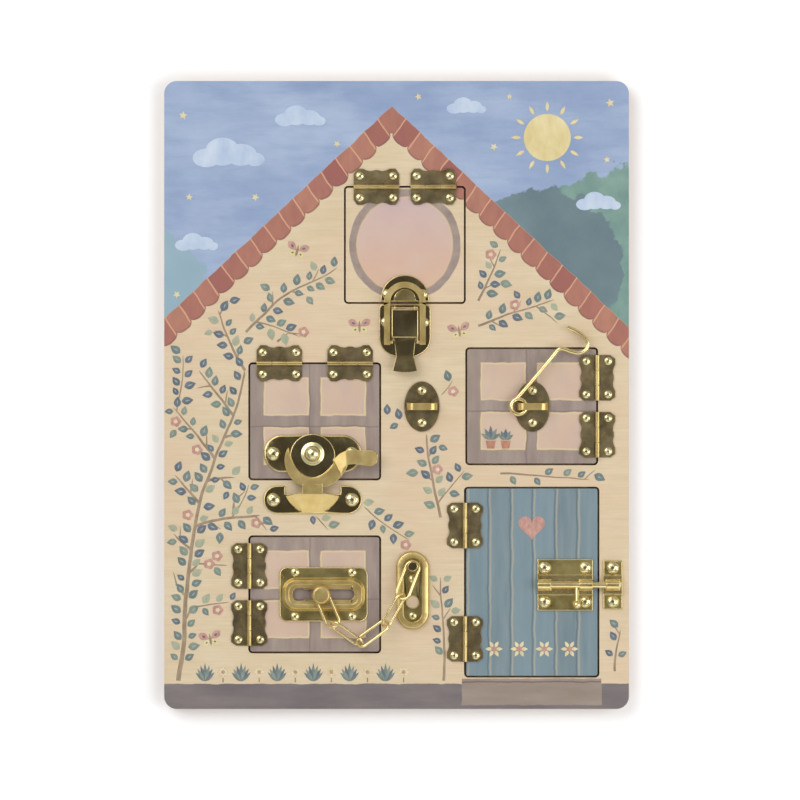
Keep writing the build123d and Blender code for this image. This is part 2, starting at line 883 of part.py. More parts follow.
link_names = ["chain_link_" + word for word in ("knob", "second", "middle", "fourth", "anchor")]
joint_reach = link_wire_radius + link_gap / 2
knob_reach = knob_neck_radius + link_end_gap + link_wire_radius
post_reach = post_radius + link_end_gap + link_wire_radius
for order, name in enumerate(link_names):
    start_reach = knob_reach if order == 0 else joint_reach
    end_reach = post_reach if name == link_names[-1] else joint_reach
    link = chain_link(
        chain_joints[order], chain_joints[order + 1], link_rolls[order], start_reach, end_reach
    )
    finish(link, name)

anchor_screw_drops = (anchor_upper_screw_drop, anchor_lower_screw_drop)
post_x = chain_joints[-1].X + post_offset
post_y = chain_joints[-1].Y
anchor_plane = Plane((post_x, post_y, front_z))
with BuildPart() as chain_anchor:
    with BuildSketch(anchor_plane):
        with Locations((0, -anchor_drop)):
            SlotOverall(anchor_length, anchor_width, rotation=90)
    extrude(amount=anchor_thickness + anchor_rim_height)
    chamfer(chain_anchor.edges().group_by(Axis.Z)[-1], anchor_rim_height / 2)
    with BuildSketch(anchor_plane.offset(anchor_thickness)):
        with Locations((0, -anchor_drop)):
            SlotOverall(
                anchor_length - 2 * anchor_rim_width,
                anchor_width - 2 * anchor_rim_width,
                rotation=90,
            )
    extrude(amount=anchor_rim_height, mode=Mode.SUBTRACT)
    with BuildSketch(anchor_plane):
        with Locations((0, -anchor_hole_drop)):
            Circle(anchor_hole_radius)
        with Locations(*[(0, -drop) for drop in anchor_screw_drops]):
            RegularPolygon(shank_radius + hole_clearance, shank_sides)
    extrude(amount=anchor_thickness, mode=Mode.SUBTRACT)
finish(chain_anchor.part, "chain_anchor_plate")
for drop in anchor_screw_drops:
    add_screw(
        "board", post_x, post_y - drop, front_z + anchor_thickness, hinge_screw_radius, hinge_screw_height
    )

post_top = chain_post_height + link_wire_radius + link_gap / 2
with BuildPart() as chain_post:
    with BuildSketch(anchor_plane.offset(anchor_thickness)):
        Circle(post_radius)
    extrude(amount=post_top - anchor_thickness)
    with BuildSketch(anchor_plane.offset(post_top)):
        Circle(post_head_radius)
    extrude(amount=post_head_height)
    chamfer(chain_post.edges().group_by(Axis.Z)[-1], post_head_height / 2)
finish(chain_post.part, "chain_anchor_post")

# Hook: an eye plate on the right window that carries it, and one on the board that catches it

hook_plate_x = openings["right_window"][0] + eye_plate_x_shift
hook_plate_y = openings["right_window"][1] + eye_plate_y_shift


def eye_plate(x, y, name, body):
    plane = Plane((x, y, front_z))
    front = Plane((x, y, front_z), x_dir=(1, 0, 0), z_dir=(0, -1, 0))
    with BuildPart() as plate:
        with BuildSketch(plane):
            Ellipse(eye_plate_half_width, eye_plate_half_height)
            with Locations((0, -eye_screw_half_spacing), (0, eye_screw_half_spacing)):
                RegularPolygon(shank_radius + hole_clearance, shank_sides, mode=Mode.SUBTRACT)
        extrude(amount=eye_plate_thickness)
        with BuildSketch(front.offset(-arch_width / 2)) as arch:
            with Locations((0, arch_height / 2)):
                Rectangle(2 * arch_half_span + arch_strip, arch_height)
            fillet(arch.vertices().sort_by(Axis.Y)[-2:], arch_corner + arch_strip)
        extrude(amount=arch_width)
        with BuildSketch(front.offset(-arch_width / 2)) as passage:
            clear_height = arch_height - arch_strip - eye_plate_thickness
            with Locations((0, eye_plate_thickness + clear_height / 2)):
                Rectangle(2 * arch_half_span - arch_strip, clear_height)
            fillet(passage.vertices().sort_by(Axis.Y)[-2:], arch_corner)
        extrude(amount=arch_width, mode=Mode.SUBTRACT)
    finish(plate.part, name)
    for side in (-1, 1):
        add_screw(
            body,
            x,
            y + side * eye_screw_half_spacing,
            front_z + eye_plate_thickness,
            plate_screw_radius,
            plate_screw_height,
        )


eye_plate(hook_plate_x, hook_plate_y, "hook_eye_plate", "right_window")
eye_plate(hook_plate_x - catch_eye_gap, hook_plate_y, "hook_catch_plate", "board")

hook_pivot = Vector(hook_plate_x - arch_half_span, hook_plate_y, front_z + hook_height)
hook_plane = Plane(
    hook_pivot,
    x_dir=(cos(radians(hook_rest_angle)), sin(radians(hook_rest_angle)), 0),
    z_dir=(0, 0, 1),
)
eye_across = Plane(hook_plane.origin + hook_plane.y_dir * hook_eye_radius, x_dir=hook_plane.y_dir,
                   z_dir=hook_plane.x_dir)
bend_low = hook_shank_offset - hook_bend_depth
with BuildPart() as hook:
    with BuildSketch(eye_across):
        RegularPolygon(hook_wire_radius, hook_wire_sides)
    revolve(axis=Axis(tuple(hook_pivot), (0, 0, 1)))
    with BuildLine(hook_plane) as wire:
        FilletPolyline(
            (hook_wire_radius, hook_shank_offset),
            (hook_shank_length, hook_shank_offset),
            (hook_bend_reach - hook_bend_radius, bend_low),
            (hook_bend_reach + hook_bend_radius, bend_low),
            (hook_bend_reach + hook_bend_radius - hook_tip_inset, bend_low + hook_tip_rise),
            radius=hook_neck_bend,
        )
    with BuildSketch(Plane(wire.line @ 0, z_dir=wire.line % 0, x_dir=(0, 0, 1))):
        RegularPolygon(hook_wire_radius, hook_wire_sides)
    sweep(path=wire.line)
finish(hook.part, "hook")

# Barrel bolt: plate, rod and knob on the door, keeper on the board

door_edge = openings["front_door"][0] + door_width / 2
bolt_x = door_edge - bolt_setback
bolt_y = openings["front_door"][1] - bolt_drop
strap_outer = rod_radius + rod_clearance + strap_wall


def bolt_strap_plate(x, length, width, strap_starts, holes, name):
    """A flat plate whose middle rises in a trough, with round straps over the bolt's rod."""
    plane = Plane((x, bolt_y, front_z))
    end = Plane((x - length / 2, bolt_y, front_z), x_dir=(0, 1, 0), z_dir=(1, 0, 0))
    with BuildPart() as plate:
        with BuildSketch(plane):
            Rectangle(length, width)
            with Locations(*holes):
                RegularPolygon(shank_radius + hole_clearance, shank_sides, mode=Mode.SUBTRACT)
        extrude(amount=bolt_plate_thickness)
        with BuildSketch(end):
            with Locations((0, bolt_plate_thickness + trough_rise / 2)):
                Rectangle(2 * trough_half_width, trough_rise)
        extrude(amount=length)
        for start in strap_starts:
            with BuildSketch(end.offset(start)):
                with Locations((0, rod_height)):
                    Circle(strap_outer)
                with Locations((0, rod_height / 2)):
                    Rectangle(2 * strap_outer, rod_height)
            extrude(amount=strap_length)
        with BuildSketch(end):
            with Locations((0, rod_height)):
                Circle(rod_radius + rod_clearance)
        extrude(amount=length, mode=Mode.SUBTRACT)
    finish(plate.part, name)


bolt_holes = [
    (side_x * bolt_screw_half_spacing_x, side_y * bolt_screw_half_spacing_y)
    for side_x in (-1, 1)
    for side_y in (-1, 1)
]
keeper_holes = [(0, -bolt_keeper_screw_half_spacing), (0, bolt_keeper_screw_half_spacing)]
keeper_x = bolt_x + bolt_keeper_shift
bolt_strap_plate(
    bolt_x,
    bolt_plate_length,
    bolt_plate_width,
    (0, bolt_plate_length - strap_length),
    bolt_holes,
    "bolt_plate",
)
bolt_strap_plate(
    keeper_x,
    bolt_keeper_length,
    bolt_keeper_width,
    ((bolt_keeper_length - strap_length) / 2,),
    keeper_holes,
    "bolt_keeper",
)
for x, y in bolt_holes:
    seat = front_z + bolt_plate_thickness
    add_screw("front_door", bolt_x + x, bolt_y + y, seat, bolt_screw_radius, bolt_screw_height)
for x, y in keeper_holes:
    seat = front_z + bolt_plate_thickness
    add_screw("board", keeper_x + x, bolt_y + y, seat, bolt_screw_radius, bolt_screw_height)

rod_left = bolt_x - bolt_plate_length / 2 + rod_overhang_left
rod_right = bolt_x + rod_tip_reach
rod_end = Plane((rod_left, bolt_y, front_z + rod_height), x_dir=(0, 1, 0), z_dir=(1, 0, 0))
with BuildPart() as bolt_rod:
    with BuildSketch(rod_end):
        Circle(rod_radius)
    extrude(amount=rod_right - rod_left)
    chamfer(bolt_rod.edges().sort_by(Axis.X)[-1], rod_tip_chamfer)
finish(bolt_rod.part, "bolt_rod")

stem_x = bolt_x + knob_stem_shift
tilt = radians(bolt_knob_tilt)
stem_direction = (0, -cos(tilt), sin(tilt))
stem_root = (stem_x, bolt_y, front_z + rod_height)
stem_plane = Plane(stem_root, x_dir=(1, 0, 0), z_dir=stem_direction)
stem_profile = Plane(stem_root, x_dir=(1, 0, 0), z_dir=(0, -sin(tilt), -cos(tilt)))
with BuildPart() as bolt_knob:
    with BuildSketch(stem_plane):
        Circle(bolt_knob_stem_radius)
    extrude(amount=bolt_knob_reach)
    with BuildSketch(stem_profile):
        with Locations((0, bolt_knob_reach)):
            Circle(bolt_knob_radius)
        with Locations((-bolt_knob_radius, bolt_knob_reach)):
            Rectangle(2 * bolt_knob_radius, 2 * bolt_knob_radius, mode=Mode.SUBTRACT)
    revolve(axis=Axis(stem_root, stem_direction))
    with BuildSketch(rod_end.offset(stem_x - rod_left - overrun / 2)):
        Circle(rod_radius + bolt_knob_gap)
    extrude(amount=overrun, mode=Mode.SUBTRACT)
finish(bolt_knob.part, "bolt_knob")

# Screws: one node a body, each screw a solid of its own

for body, places in screws.items():
    sizes = sorted({place[2:] for place in places})
    with BuildPart() as group:
        for seat, radius, height in sizes:
            spots = [place[:2] for place in places if place[2:] == (seat, radius, height)]
            with BuildSketch(Plane.XY.offset(seat)):
                with Locations(*spots):
                    RegularPolygon(radius, head_sides)
            extrude(amount=height, taper=head_taper)
            with BuildSketch(Plane.XY.offset(seat)):
                with Locations(*spots):
                    RegularPolygon(shank_radius, shank_sides)
            extrude(amount=-shank_length)
    finish(group.part, body + "_screws")

# Back panel, board and flaps, with a pilot hole under every screw

with BuildPart() as back_panel:
    with BuildSketch():
        RectangleRounded(board_width, board_height, board_corner)
    extrude(amount=back_thickness)
finish(back_panel.part, "back_panel")


with BuildPart() as front_board:
    with BuildSketch(Plane.XY.offset(back_thickness)):
        RectangleRounded(board_width, board_height, board_corner)
        for x, y, width, height in openings.values():
            with Locations((x, y)):
                RectangleRounded(width + kerf, height + kerf, flap_corner + kerf, mode=Mode.SUBTRACT)
    extrude(amount=board_thickness)
    with BuildSketch(Plane.XY.offset(front_z)):
        with Locations(*[place[:2] for place in screws["board"]]):
            RegularPolygon(shank_radius + hole_clearance, shank_sides)
    extrude(amount=-shank_length, mode=Mode.SUBTRACT)
finish(front_board.part, "front_board")

for name, (x, y, width, height) in openings.items():
    with BuildPart() as flap:
        with BuildSketch(Plane.XY.offset(back_thickness)):
            with Locations((x, y)):
                RectangleRounded(width - kerf, height - kerf, flap_corner)
        extrude(amount=board_thickness)
        with BuildSketch(Plane.XY.offset(front_z)):
            with Locations(*[place[:2] for place in screws[name]]):
                RegularPolygon(shank_radius + hole_clearance, shank_sides)
        extrude(amount=-shank_length, mode=Mode.SUBTRACT)
    finish(flap.part, name)
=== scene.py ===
import collections
import itertools
import json
import random
from math import atan2, cos, dist, hypot, pi, radians, sin, sqrt

import bmesh
import bpy
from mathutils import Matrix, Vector


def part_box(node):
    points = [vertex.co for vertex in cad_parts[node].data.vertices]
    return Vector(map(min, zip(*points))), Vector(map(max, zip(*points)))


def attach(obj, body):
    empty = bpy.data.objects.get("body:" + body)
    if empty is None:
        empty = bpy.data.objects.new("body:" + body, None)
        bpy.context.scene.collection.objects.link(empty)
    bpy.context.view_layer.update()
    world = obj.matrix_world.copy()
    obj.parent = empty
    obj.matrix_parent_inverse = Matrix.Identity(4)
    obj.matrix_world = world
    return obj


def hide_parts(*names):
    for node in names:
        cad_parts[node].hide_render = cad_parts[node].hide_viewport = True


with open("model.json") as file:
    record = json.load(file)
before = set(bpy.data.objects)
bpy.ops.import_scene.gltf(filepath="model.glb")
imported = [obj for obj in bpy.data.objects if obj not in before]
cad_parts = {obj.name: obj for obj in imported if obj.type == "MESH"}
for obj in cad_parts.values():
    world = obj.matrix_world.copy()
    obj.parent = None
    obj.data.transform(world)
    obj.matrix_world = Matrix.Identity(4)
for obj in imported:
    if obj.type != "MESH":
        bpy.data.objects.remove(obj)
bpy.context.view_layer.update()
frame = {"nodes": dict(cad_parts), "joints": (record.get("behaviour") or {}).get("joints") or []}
nodes = frame["nodes"]
MM = 0.001
TO_MM = 1 / MM

# The painted picture, in millimetres from the middle of the board
FRONT = 11.0
ROOF_APEX = (-2.9, 184.0)
ROOF_SLOPE = 0.934
ROOF_BAND = 11.5
TILE_PITCH = 12.4
TILE_DEPTH = 3.4
GROUND = -184.0
STEP_LOW, STEP_HIGH = -197.5, -180.6
STEP_LEFT, STEP_RIGHT = 41.5, 130.5
STEP_LINE_LOW, STEP_LINE_HIGH = 2.6, 1.6
FRAME_BORDER = 8.5
BAR_HALF = 3.6
BAR_SHADE = 0.9
PANE_LINE = 1.1
RING_OUTER = 35.5
RING_INNER = 30.5
RING_LINE_IN, RING_LINE_OUT = 0.7, 0.5
PLANK = 14.1
FLAP_OVER = 0.5

# Hills behind the roof: middle and radius
HILL_RIGHT = (152, 70, 76.0)
HILL_NEAR = (94, 80, 50.0)
HILL_LEFT = (-170, 58, 52.0)
HILL_RAGGED = 22.0

# Wood: how far the brush wanders, thickness of the plies, and how upright a face counts as one
BRUSH_WOBBLE = 2.2
BOARD_PLY = 1.4
PANEL_PLY = 1.0
FACE_TILT = 0.6


def linear(code):
    """A hex colour as linear light, with its alpha."""
    channels = []
    for start in (0, 2, 4):
        share = int(code[start:start + 2], 16) / 255
        channels.append(share / 12.92 if share <= 0.04045 else ((share + 0.055) / 1.055) ** 2.4)
    return (*channels, 1.0)


class Value:
    """A number in a node tree, so that a material reads as sums."""

    def __init__(self, tree, socket):
        self.tree = tree
        self.socket = socket

    def math(self, operation, *others):
        node = self.tree.nodes.new("ShaderNodeMath")
        node.operation = operation
        self.tree.links.new(self.socket, node.inputs[0])
        for slot, other in enumerate(others, 1):
            if isinstance(other, Value):
                self.tree.links.new(other.socket, node.inputs[slot])
            else:
                node.inputs[slot].default_value = other
        return Value(self.tree, node.outputs[0])

    def __add__(self, other):
        return self.math("ADD", other)

    def __sub__(self, other):
        return self.math("SUBTRACT", other)

    def __mul__(self, other):
        return self.math("MULTIPLY", other)

    def inverse(self):
        """1 less the value."""
        return self * -1.0 + 1.0

    def above(self, edge, soft=0.25):
        """1 where the value is over edge, 0 where it is under, with a soft step between."""
        return (self - edge).math("DIVIDE", 2 * soft).math("ADD", 0.5).clamp()

    def clamp(self):
        node = self.tree.nodes.new("ShaderNodeClamp")
        self.tree.links.new(self.socket, node.inputs[0])
        return Value(self.tree, node.outputs[0])

    def inside(self, low, high, soft=0.25):
        return self.above(low, soft) * self.above(high, soft).inverse()


class Painter:
    """One node material, with the helpers that its layers need."""

    def __init__(self, name):
        self.material = bpy.data.materials.new(name)
        self.material.use_nodes = True
        self.tree = self.material.node_tree
        self.shader = self.tree.nodes["Principled BSDF"]
        coords = self.tree.nodes.new("ShaderNodeTexCoord")
        self.place = coords.outputs["Object"]
        self.normal = coords.outputs["Normal"]
        self.x, self.y, self.z = (axis * TO_MM for axis in self.split(self.place))

    def split(self, vector):
        """The three coordinates of a vector."""
        node = self.tree.nodes.new("ShaderNodeSeparateXYZ")
        self.tree.links.new(vector, node.inputs[0])
        return [Value(self.tree, socket) for socket in node.outputs]

    def facing(self):
        """How far a face turns up: 1 for level and up, -1 for level and down."""
        return self.split(self.normal)[2]

    def noise(self, size, detail=3.0, stretch=(1, 1, 1), rough=0.55):
        """Cloudy noise from 0 to 1, whose blobs are about size millimetres across."""
        mapping = self.tree.nodes.new("ShaderNodeMapping")
        mapping.inputs["Scale"].default_value = [TO_MM / size / s for s in stretch]
        self.tree.links.new(self.place, mapping.inputs["Vector"])
        node = self.tree.nodes.new("ShaderNodeTexNoise")
        node.inputs["Scale"].default_value = 1.0
        node.inputs["Detail"].default_value = detail
        node.inputs["Roughness"].default_value = rough
        self.tree.links.new(mapping.outputs[0], node.inputs["Vector"])
        return Value(self.tree, node.outputs["Fac"])

    def random(self, value):
        """A random number from 0 to 1 for each value."""
        node = self.tree.nodes.new("ShaderNodeTexWhiteNoise")
        node.noise_dimensions = "1D"
        self.tree.links.new(value.socket, node.inputs["W"])
        return Value(self.tree, node.outputs["Value"])

    def mix(self, amount, first, second):
        """first where amount is 0, second where it is 1. Colours are sockets or hex codes."""
        node = self.tree.nodes.new("ShaderNodeMix")
        node.data_type = "RGBA"
        for socket, colour in ((node.inputs[6], first), (node.inputs[7], second)):
            if isinstance(colour, str):
                socket.default_value = linear(colour)
            else:
                self.tree.links.new(colour, socket)
        self.tree.links.new(amount.socket, node.inputs[0])
        return node.outputs[2]

    def set(self, name, value):
        socket = self.shader.inputs[name]
        if isinstance(value, Value):
            self.tree.links.new(value.socket, socket)
        elif isinstance(value, bpy.types.NodeSocket):
            self.tree.links.new(value, socket)
        else:
            socket.default_value = value

    def bump(self, height, strength, distance):
        node = self.tree.nodes.new("ShaderNodeBump")
        node.inputs["Strength"].default_value = strength
        node.inputs["Distance"].default_value = distance * MM
        self.tree.links.new(height.socket, node.inputs["Height"])
        self.tree.links.new(node.outputs[0], self.shader.inputs["Normal"])


# Outlines of the board and its flaps, read from the solids


def node_rect(name):
    low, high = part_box(name)
    return [low.x / MM, low.y / MM, high.x / MM, high.y / MM]


def middle(rect):
    return ((rect[0] + rect[2]) / 2, (rect[1] + rect[3]) / 2)


FLAPS = ["gable_window", "left_window", "right_window", "lower_window", "front_door"]
rects = {name: node_rect(name) for name in FLAPS}
BOARD = node_rect("front_board")


# Painted wood


def squared_distance(x, y, centre):
    return (x - centre[0]).math("POWER", 2) + (y - centre[1]).math("POWER", 2)


def on_flap(p, flap):
    """1 on a flap and just past its edges, by straight lines that the brush doesn't wobble."""
    low_x, low_y, high_x, high_y = rects[flap]
    across = p.x.inside(low_x - FLAP_OVER, high_x + FLAP_OVER)
    return across * p.y.inside(low_y - FLAP_OVER, high_y + FLAP_OVER)


def panes(x, y, rect, inset):
    """Where the four panes of a window lie, less an inset along their edges."""
    low_x, low_y, high_x, high_y = rect
    middle_x, middle_y = middle(rect)
    left = x.inside(low_x + FRAME_BORDER + inset, middle_x - BAR_HALF - inset)
    right = x.inside(middle_x + BAR_HALF + inset, high_x - FRAME_BORDER - inset)
    lower = y.inside(low_y + FRAME_BORDER + inset, middle_y - BAR_HALF - inset)
    upper = y.inside(middle_y + BAR_HALF + inset, high_y - FRAME_BORDER - inset)
    return (left + right) * (lower + upper)


def wall_colour(p, wash, strokes, grain):
    wall = p.mix(wash.above(0.5, 0.3), "D2C1A1", "CAB490")
    wall = p.mix(strokes.above(0.6, 0.2) * 0.4, wall, "E0D3BA")
    wall = p.mix(p.noise(70, 3).above(0.54, 0.12) * 0.45, wall, "D5B79C")
    return p.mix(grain.above(0.6, 0.15) * 0.22, wall, "AE9877")


def sky_colour(p, x, y, wash, strokes):
    """A washed blue sky with three ragged hills."""
    sky = p.mix(p.noise(45, 5).above(0.5), "7F91B3", "95A6C3")
    sky = p.mix(p.noise(26, 5, (2.4, 1, 1)).above(0.56, 0.12) * 0.6, sky, "AAB9CF")
    sky = p.mix(strokes.above(0.58, 0.12) * 0.3, sky, "7489AD")
    hills = p.mix(p.noise(13, 5).above(0.5, 0.2), "67877F", "7C9A90")
    ragged_x = x + (p.noise(16, 3) - 0.5) * HILL_RAGGED
    ragged_y = y + (p.noise(13, 3) - 0.5) * HILL_RAGGED
    right = squared_distance(ragged_x, ragged_y, HILL_RIGHT)
    near = squared_distance(ragged_x, ragged_y, HILL_NEAR)
    left = squared_distance(ragged_x, ragged_y, HILL_LEFT)
    sky = p.mix(right.above(HILL_RIGHT[2] ** 2, 90).inverse(), sky, hills)
    sky = p.mix(near.above(HILL_NEAR[2] ** 2, 60).inverse(), sky,
                p.mix(wash.above(0.5, 0.2), "5A6F77", "6B8186"))
    return p.mix(left.above(HILL_LEFT[2] ** 2, 70).inverse(), sky,
                 p.mix(wash, "7F9AAC", "93ACB6"))


def roof_colour(p, x, y):
    """The tiles' colour, the depth below the roof's edge, and the depth of the tiles' lips."""
    across = (x - ROOF_APEX[0]).math("ABSOLUTE")
    length = hypot(1, ROOF_SLOPE)
    depth = (y * -1.0 - across * ROOF_SLOPE + ROOF_APEX[1]) * (1 / length)
    along = (across - y * ROOF_SLOPE + ROOF_SLOPE * ROOF_APEX[1]) * (1 / length / TILE_PITCH)
    tile = along.math("FLOOR")
    local = along.math("FRACT")
    bow = (local * 2.0 - 1.0).math("POWER", 2).inverse().math("SQRT")
    lip = bow * TILE_DEPTH + ROOF_BAND
    tiles = p.mix(p.random(tile), "96594F", "B27B63")
    tiles = p.mix(p.noise(6, 4, (1, 3, 1)).above(0.5) * 0.5, tiles, "86504E")
    seam = (local - depth * 0.012).math("FRACT").above(0.93, 0.02)
    tiles = p.mix(seam * 0.8, tiles, "CFA07F")
    tiles = p.mix((lip - depth).above(0.9, 0.4) * -0.6 + 0.6, tiles, "704442")
    return tiles, depth, lip


def paint_ground(p, picture, x, y):
    """The ground at the foot of the wall, and the doorstep with a dark line."""
    ground = p.mix(p.noise(9, 4, (4, 1, 1)).above(0.5), "655C5E", "7D7472")
    picture = p.mix(y.above(GROUND).inverse(), picture, ground)
    step = p.mix(p.noise(8, 4, (5, 1, 1)).above(0.5), "857568", "9A8B80")
    doorstep = x.inside(STEP_LEFT, STEP_RIGHT) * y.inside(STEP_LOW, STEP_HIGH)
    picture = p.mix(doorstep, picture, step)
    line = y.inside(STEP_HIGH - STEP_LINE_LOW, STEP_HIGH - STEP_LINE_HIGH)
    return p.mix(line * x.inside(STEP_LEFT, STEP_RIGHT) * 0.7, picture, "5C4B4A")


def paint_windows(p, picture, x, y):
    """Frames with a cross of bars and four outlined panes."""
    border = p.mix(p.noise(7, 4, (1, 5, 1)).above(0.5), "84746D", "A09084")
    pane = p.mix(p.noise(30, 4).above(0.5), "BEA190", "C9B19E")
    pane = p.mix(p.noise(12, 3, (1, 2.5, 1)).above(0.6, 0.1) * 0.35, pane, "AE989A")
    for flap in ("left_window", "right_window", "lower_window"):
        middle_x, middle_y = middle(rects[flap])
        frame_mask = on_flap(p, flap)
        picture = p.mix(frame_mask, picture, border)
        picture = p.mix(panes(x, y, rects[flap], 0.0), picture, "CDB892")
        picture = p.mix(panes(x, y, rects[flap], PANE_LINE) * 0.85, picture, pane)
        line_x = x.inside(middle_x - BAR_HALF, middle_x - BAR_HALF + BAR_SHADE)
        line_y = y.inside(middle_y - BAR_HALF, middle_y - BAR_HALF + BAR_SHADE)
        picture = p.mix((line_x + line_y).clamp() * frame_mask * 0.45, picture, "5F4F50")
    return picture


def paint_round_window(p, picture, x, y):
    centre = middle(rects["gable_window"])
    radius = squared_distance(x, y, centre).math("SQRT")
    ring = p.mix(p.noise(7, 4).above(0.5), "85756E", "A29185")
    picture = p.mix(radius.above(RING_OUTER).inverse(), picture, ring)
    pane = p.mix((y - centre[1]).above(4.0, 26.0), "CBA88F", "BFA6A4")
    pane = p.mix(p.noise(16, 4).above(0.55, 0.15) * 0.45, pane, "C8B4A4")
    picture = p.mix(radius.above(RING_INNER).inverse(), picture, pane)
    line = radius.inside(RING_INNER - RING_LINE_IN, RING_INNER + RING_LINE_OUT)
    return p.mix(line * 0.6, picture, "CBB18D")


def paint_door(p, picture, x):
    """Blue planks with dark grooves and a pale stroke beside each."""
    door_mask = on_flap(p, "front_door")
    plank = (x - rects["front_door"][0]) * (1 / PLANK)
    plank_tone = p.random(plank.math("FLOOR"))
    teal = p.mix(p.noise(5, 4, (1, 9, 1)).above(0.5), "64777E", "7B8B90")
    teal = p.mix(plank_tone * 0.5, teal, "7A9099")
    across = plank.math("FRACT")
    groove = across.inside(0.03, 0.97, 0.03).inverse()
    teal = p.mix(groove * 0.7, teal, "4B5B60")
    teal = p.mix(across.inside(0.07, 0.14, 0.03) * 0.5, teal, "B9A98A")
    return p.mix(door_mask, picture, teal)


def painted_picture(name):
    """The house picture, which runs on over board and flaps, with sawn wood at the edges."""
    p = Painter(name)
    wobble_x = (p.noise(14, 2) - 0.5) * BRUSH_WOBBLE
    wobble_y = (p.noise(11, 2) - 0.5) * BRUSH_WOBBLE
    x = p.x + wobble_x
    y = p.y + wobble_y
    wash = p.noise(38, 5)
    strokes = p.noise(5, 4, (5, 1, 1))
    grain = p.noise(1.6, 3, (16, 0.6, 1))
    wall = wall_colour(p, wash, strokes, grain)
    sky = sky_colour(p, x, y, wash, strokes)
    tiles, depth, lip = roof_colour(p, x, y)
    picture = p.mix(depth.above(0.0), sky, wall)
    picture = p.mix(depth.above(0.0) * (lip - depth).above(0.0), picture, tiles)
    picture = paint_ground(p, picture, x, y)
    picture = paint_windows(p, picture, x, y)
    picture = paint_round_window(p, picture, x, y)
    picture = paint_door(p, picture, x)

    sawn = p.mix(p.noise(1.2, 3, (14, 14, 1)), "8F6B47", "6B4A2E")
    ply = (p.z * (1 / BOARD_PLY)).math("FRACT").above(0.5, 0.12)
    sawn = p.mix(ply * 0.4, sawn, "A98257")
    bare = p.mix(p.noise(1.5, 4, (30, 1, 1)), "CDB187", "B99970")
    bare = p.mix(wash.above(0.55, 0.15) * 0.4, bare, "D8C29C")
    front = p.facing().above(FACE_TILT, 0.05)
    back = (p.facing() * -1.0).above(FACE_TILT, 0.05)
    p.set("Base Color", p.mix(back, p.mix(front, sawn, picture), bare))
    p.set("Roughness", wash * 0.18 + 0.42)
    p.set("Coat Weight", 0.08)
    p.set("Coat Roughness", 0.35)
    p.bump(strokes * 0.6 + grain * 0.4, 0.22, 0.12)
    return p.material


def plain_plywood(name):
    """Bare plywood, with its plies along the edges."""
    p = Painter(name)
    grain = p.noise(1.5, 4, (30, 1, 1))
    wash = p.noise(60, 4, (3, 1, 1))
    wood = p.mix(grain, "D9BD92", "C4A273")
    wood = p.mix(wash.above(0.55, 0.15) * 0.4, wood, "E3CBA3")
    ply = (p.z * (1 / PANEL_PLY)).math("FRACT").above(0.5, 0.1)
    side = p.mix(ply * 0.6, "B48C5C", "8A6440")
    face = p.facing().math("ABSOLUTE").above(FACE_TILT, 0.05)
    p.set("Base Color", p.mix(face, side, wood))
    p.set("Roughness", grain * 0.15 + 0.52)
    p.bump(grain, 0.25, 0.1)
    return p.material


def brass(name, light, dark, rough, worn=0.0, streaks=0.03):
    """Brass plate: a cloudy tone, faint rolling lines and worn bright spots."""
    p = Painter(name)
    cloud = p.noise(9, 4)
    fine = p.noise(0.7, 3, (1, 7, 1))
    base = p.mix(cloud.above(0.5), dark, light)
    if worn:
        base = p.mix(p.noise(3.5, 5).above(0.6, 0.08) * worn, base, "C9A45C")
    p.set("Base Color", base)
    p.set("Metallic", 1.0)
    p.set("Roughness", cloud * 0.12 + fine * 0.06 + (rough - 0.09))
    p.bump(fine, streaks * 3, 0.03)
    return p.material


def enamel(name, light, dark, size=4.0):
    """Brushed paint of one motif, with a tone that changes along each stroke."""
    p = Painter(name)
    tone = p.noise(size, 4, (1, 1.8, 1))
    p.set("Base Color", p.mix(tone.above(0.5, 0.2), dark, light))
    p.set("Roughness", tone * 0.15 + 0.45)
    p.bump(tone, 0.2, 0.06)
    return p.material


def floor_material(name):
    p = Painter(name)
    p.set("Base Color", p.mix(p.noise(90, 2) * 0.1, "FFFFFF", "F4F4F4"))
    p.set("Roughness", 0.6)
    return p.material


picture = painted_picture("painted_picture")
plywood = plain_plywood("plain_plywood")
mirror = brass("mirror_brass", "D6C491", "BFA871", 0.16)
plate = brass("plate_brass", "D0BF82", "A59356", 0.3, 0.2, 0.045)
# The satin, brushed and knuckle brasses are lighter: on raised faces and knuckles they are partly
# a painted highlight
satin_highlight = brass("satin_highlight_brass", "F1DD9E", "DFC47E", 0.24)
brushed_and_highlight = brass("brushed_and_highlight_brass", "E4CE90", "CDAF6A", 0.36)
antique = brass("antique_brass", "A3936F", "74674B", 0.34, 0.3, 0.045)
knuckle = brass("knuckle_brass", "D8C286", "A8915A", 0.3)
bright = brass("bright_brass", "F4E4AE", "E2C987", 0.2)
pale = brass("screw_brass", "E8DDB2", "CBBE8A", 0.2)
ENAMELS = (
    ("leaf_green", "889283", "6C7A70"),
    ("leaf_teal", "75837F", "5E6C6B"),
    ("leaf_blue", "6A737D", "525C67"),
    ("leaf_light", "A8AA90", "92997F"),
    ("shine", "A3AC9A", "889892", 2.0),
    ("stem", "A38F74", "836F58"),
    ("rose", "C39A8A", "A87870", 2.0),
    ("cream", "DDD2AE", "C9B98D", 3.0),
    ("cloud", "BFCBDA", "A4B6CF", 9.0),
    ("sun", "DCCFA0", "CDBB83", 8.0),
    ("clay", "B98468", "9C6650", 3.0),
)
enamels = {row[0]: enamel(*row) for row in ENAMELS}

# Finish of the CAD pieces. Lengths are in millimetres

WELD_GAP = 0.002
EDGE_SEGMENTS = 3
EDGE_ANGLE = radians(48)
FLAT_WEIGHT = 90
LEAF_EDGE = 0.16
KNUCKLE_LEVEL = 1.3
PIN_EDGE = 0.1
LINK_EDGE = 0.05


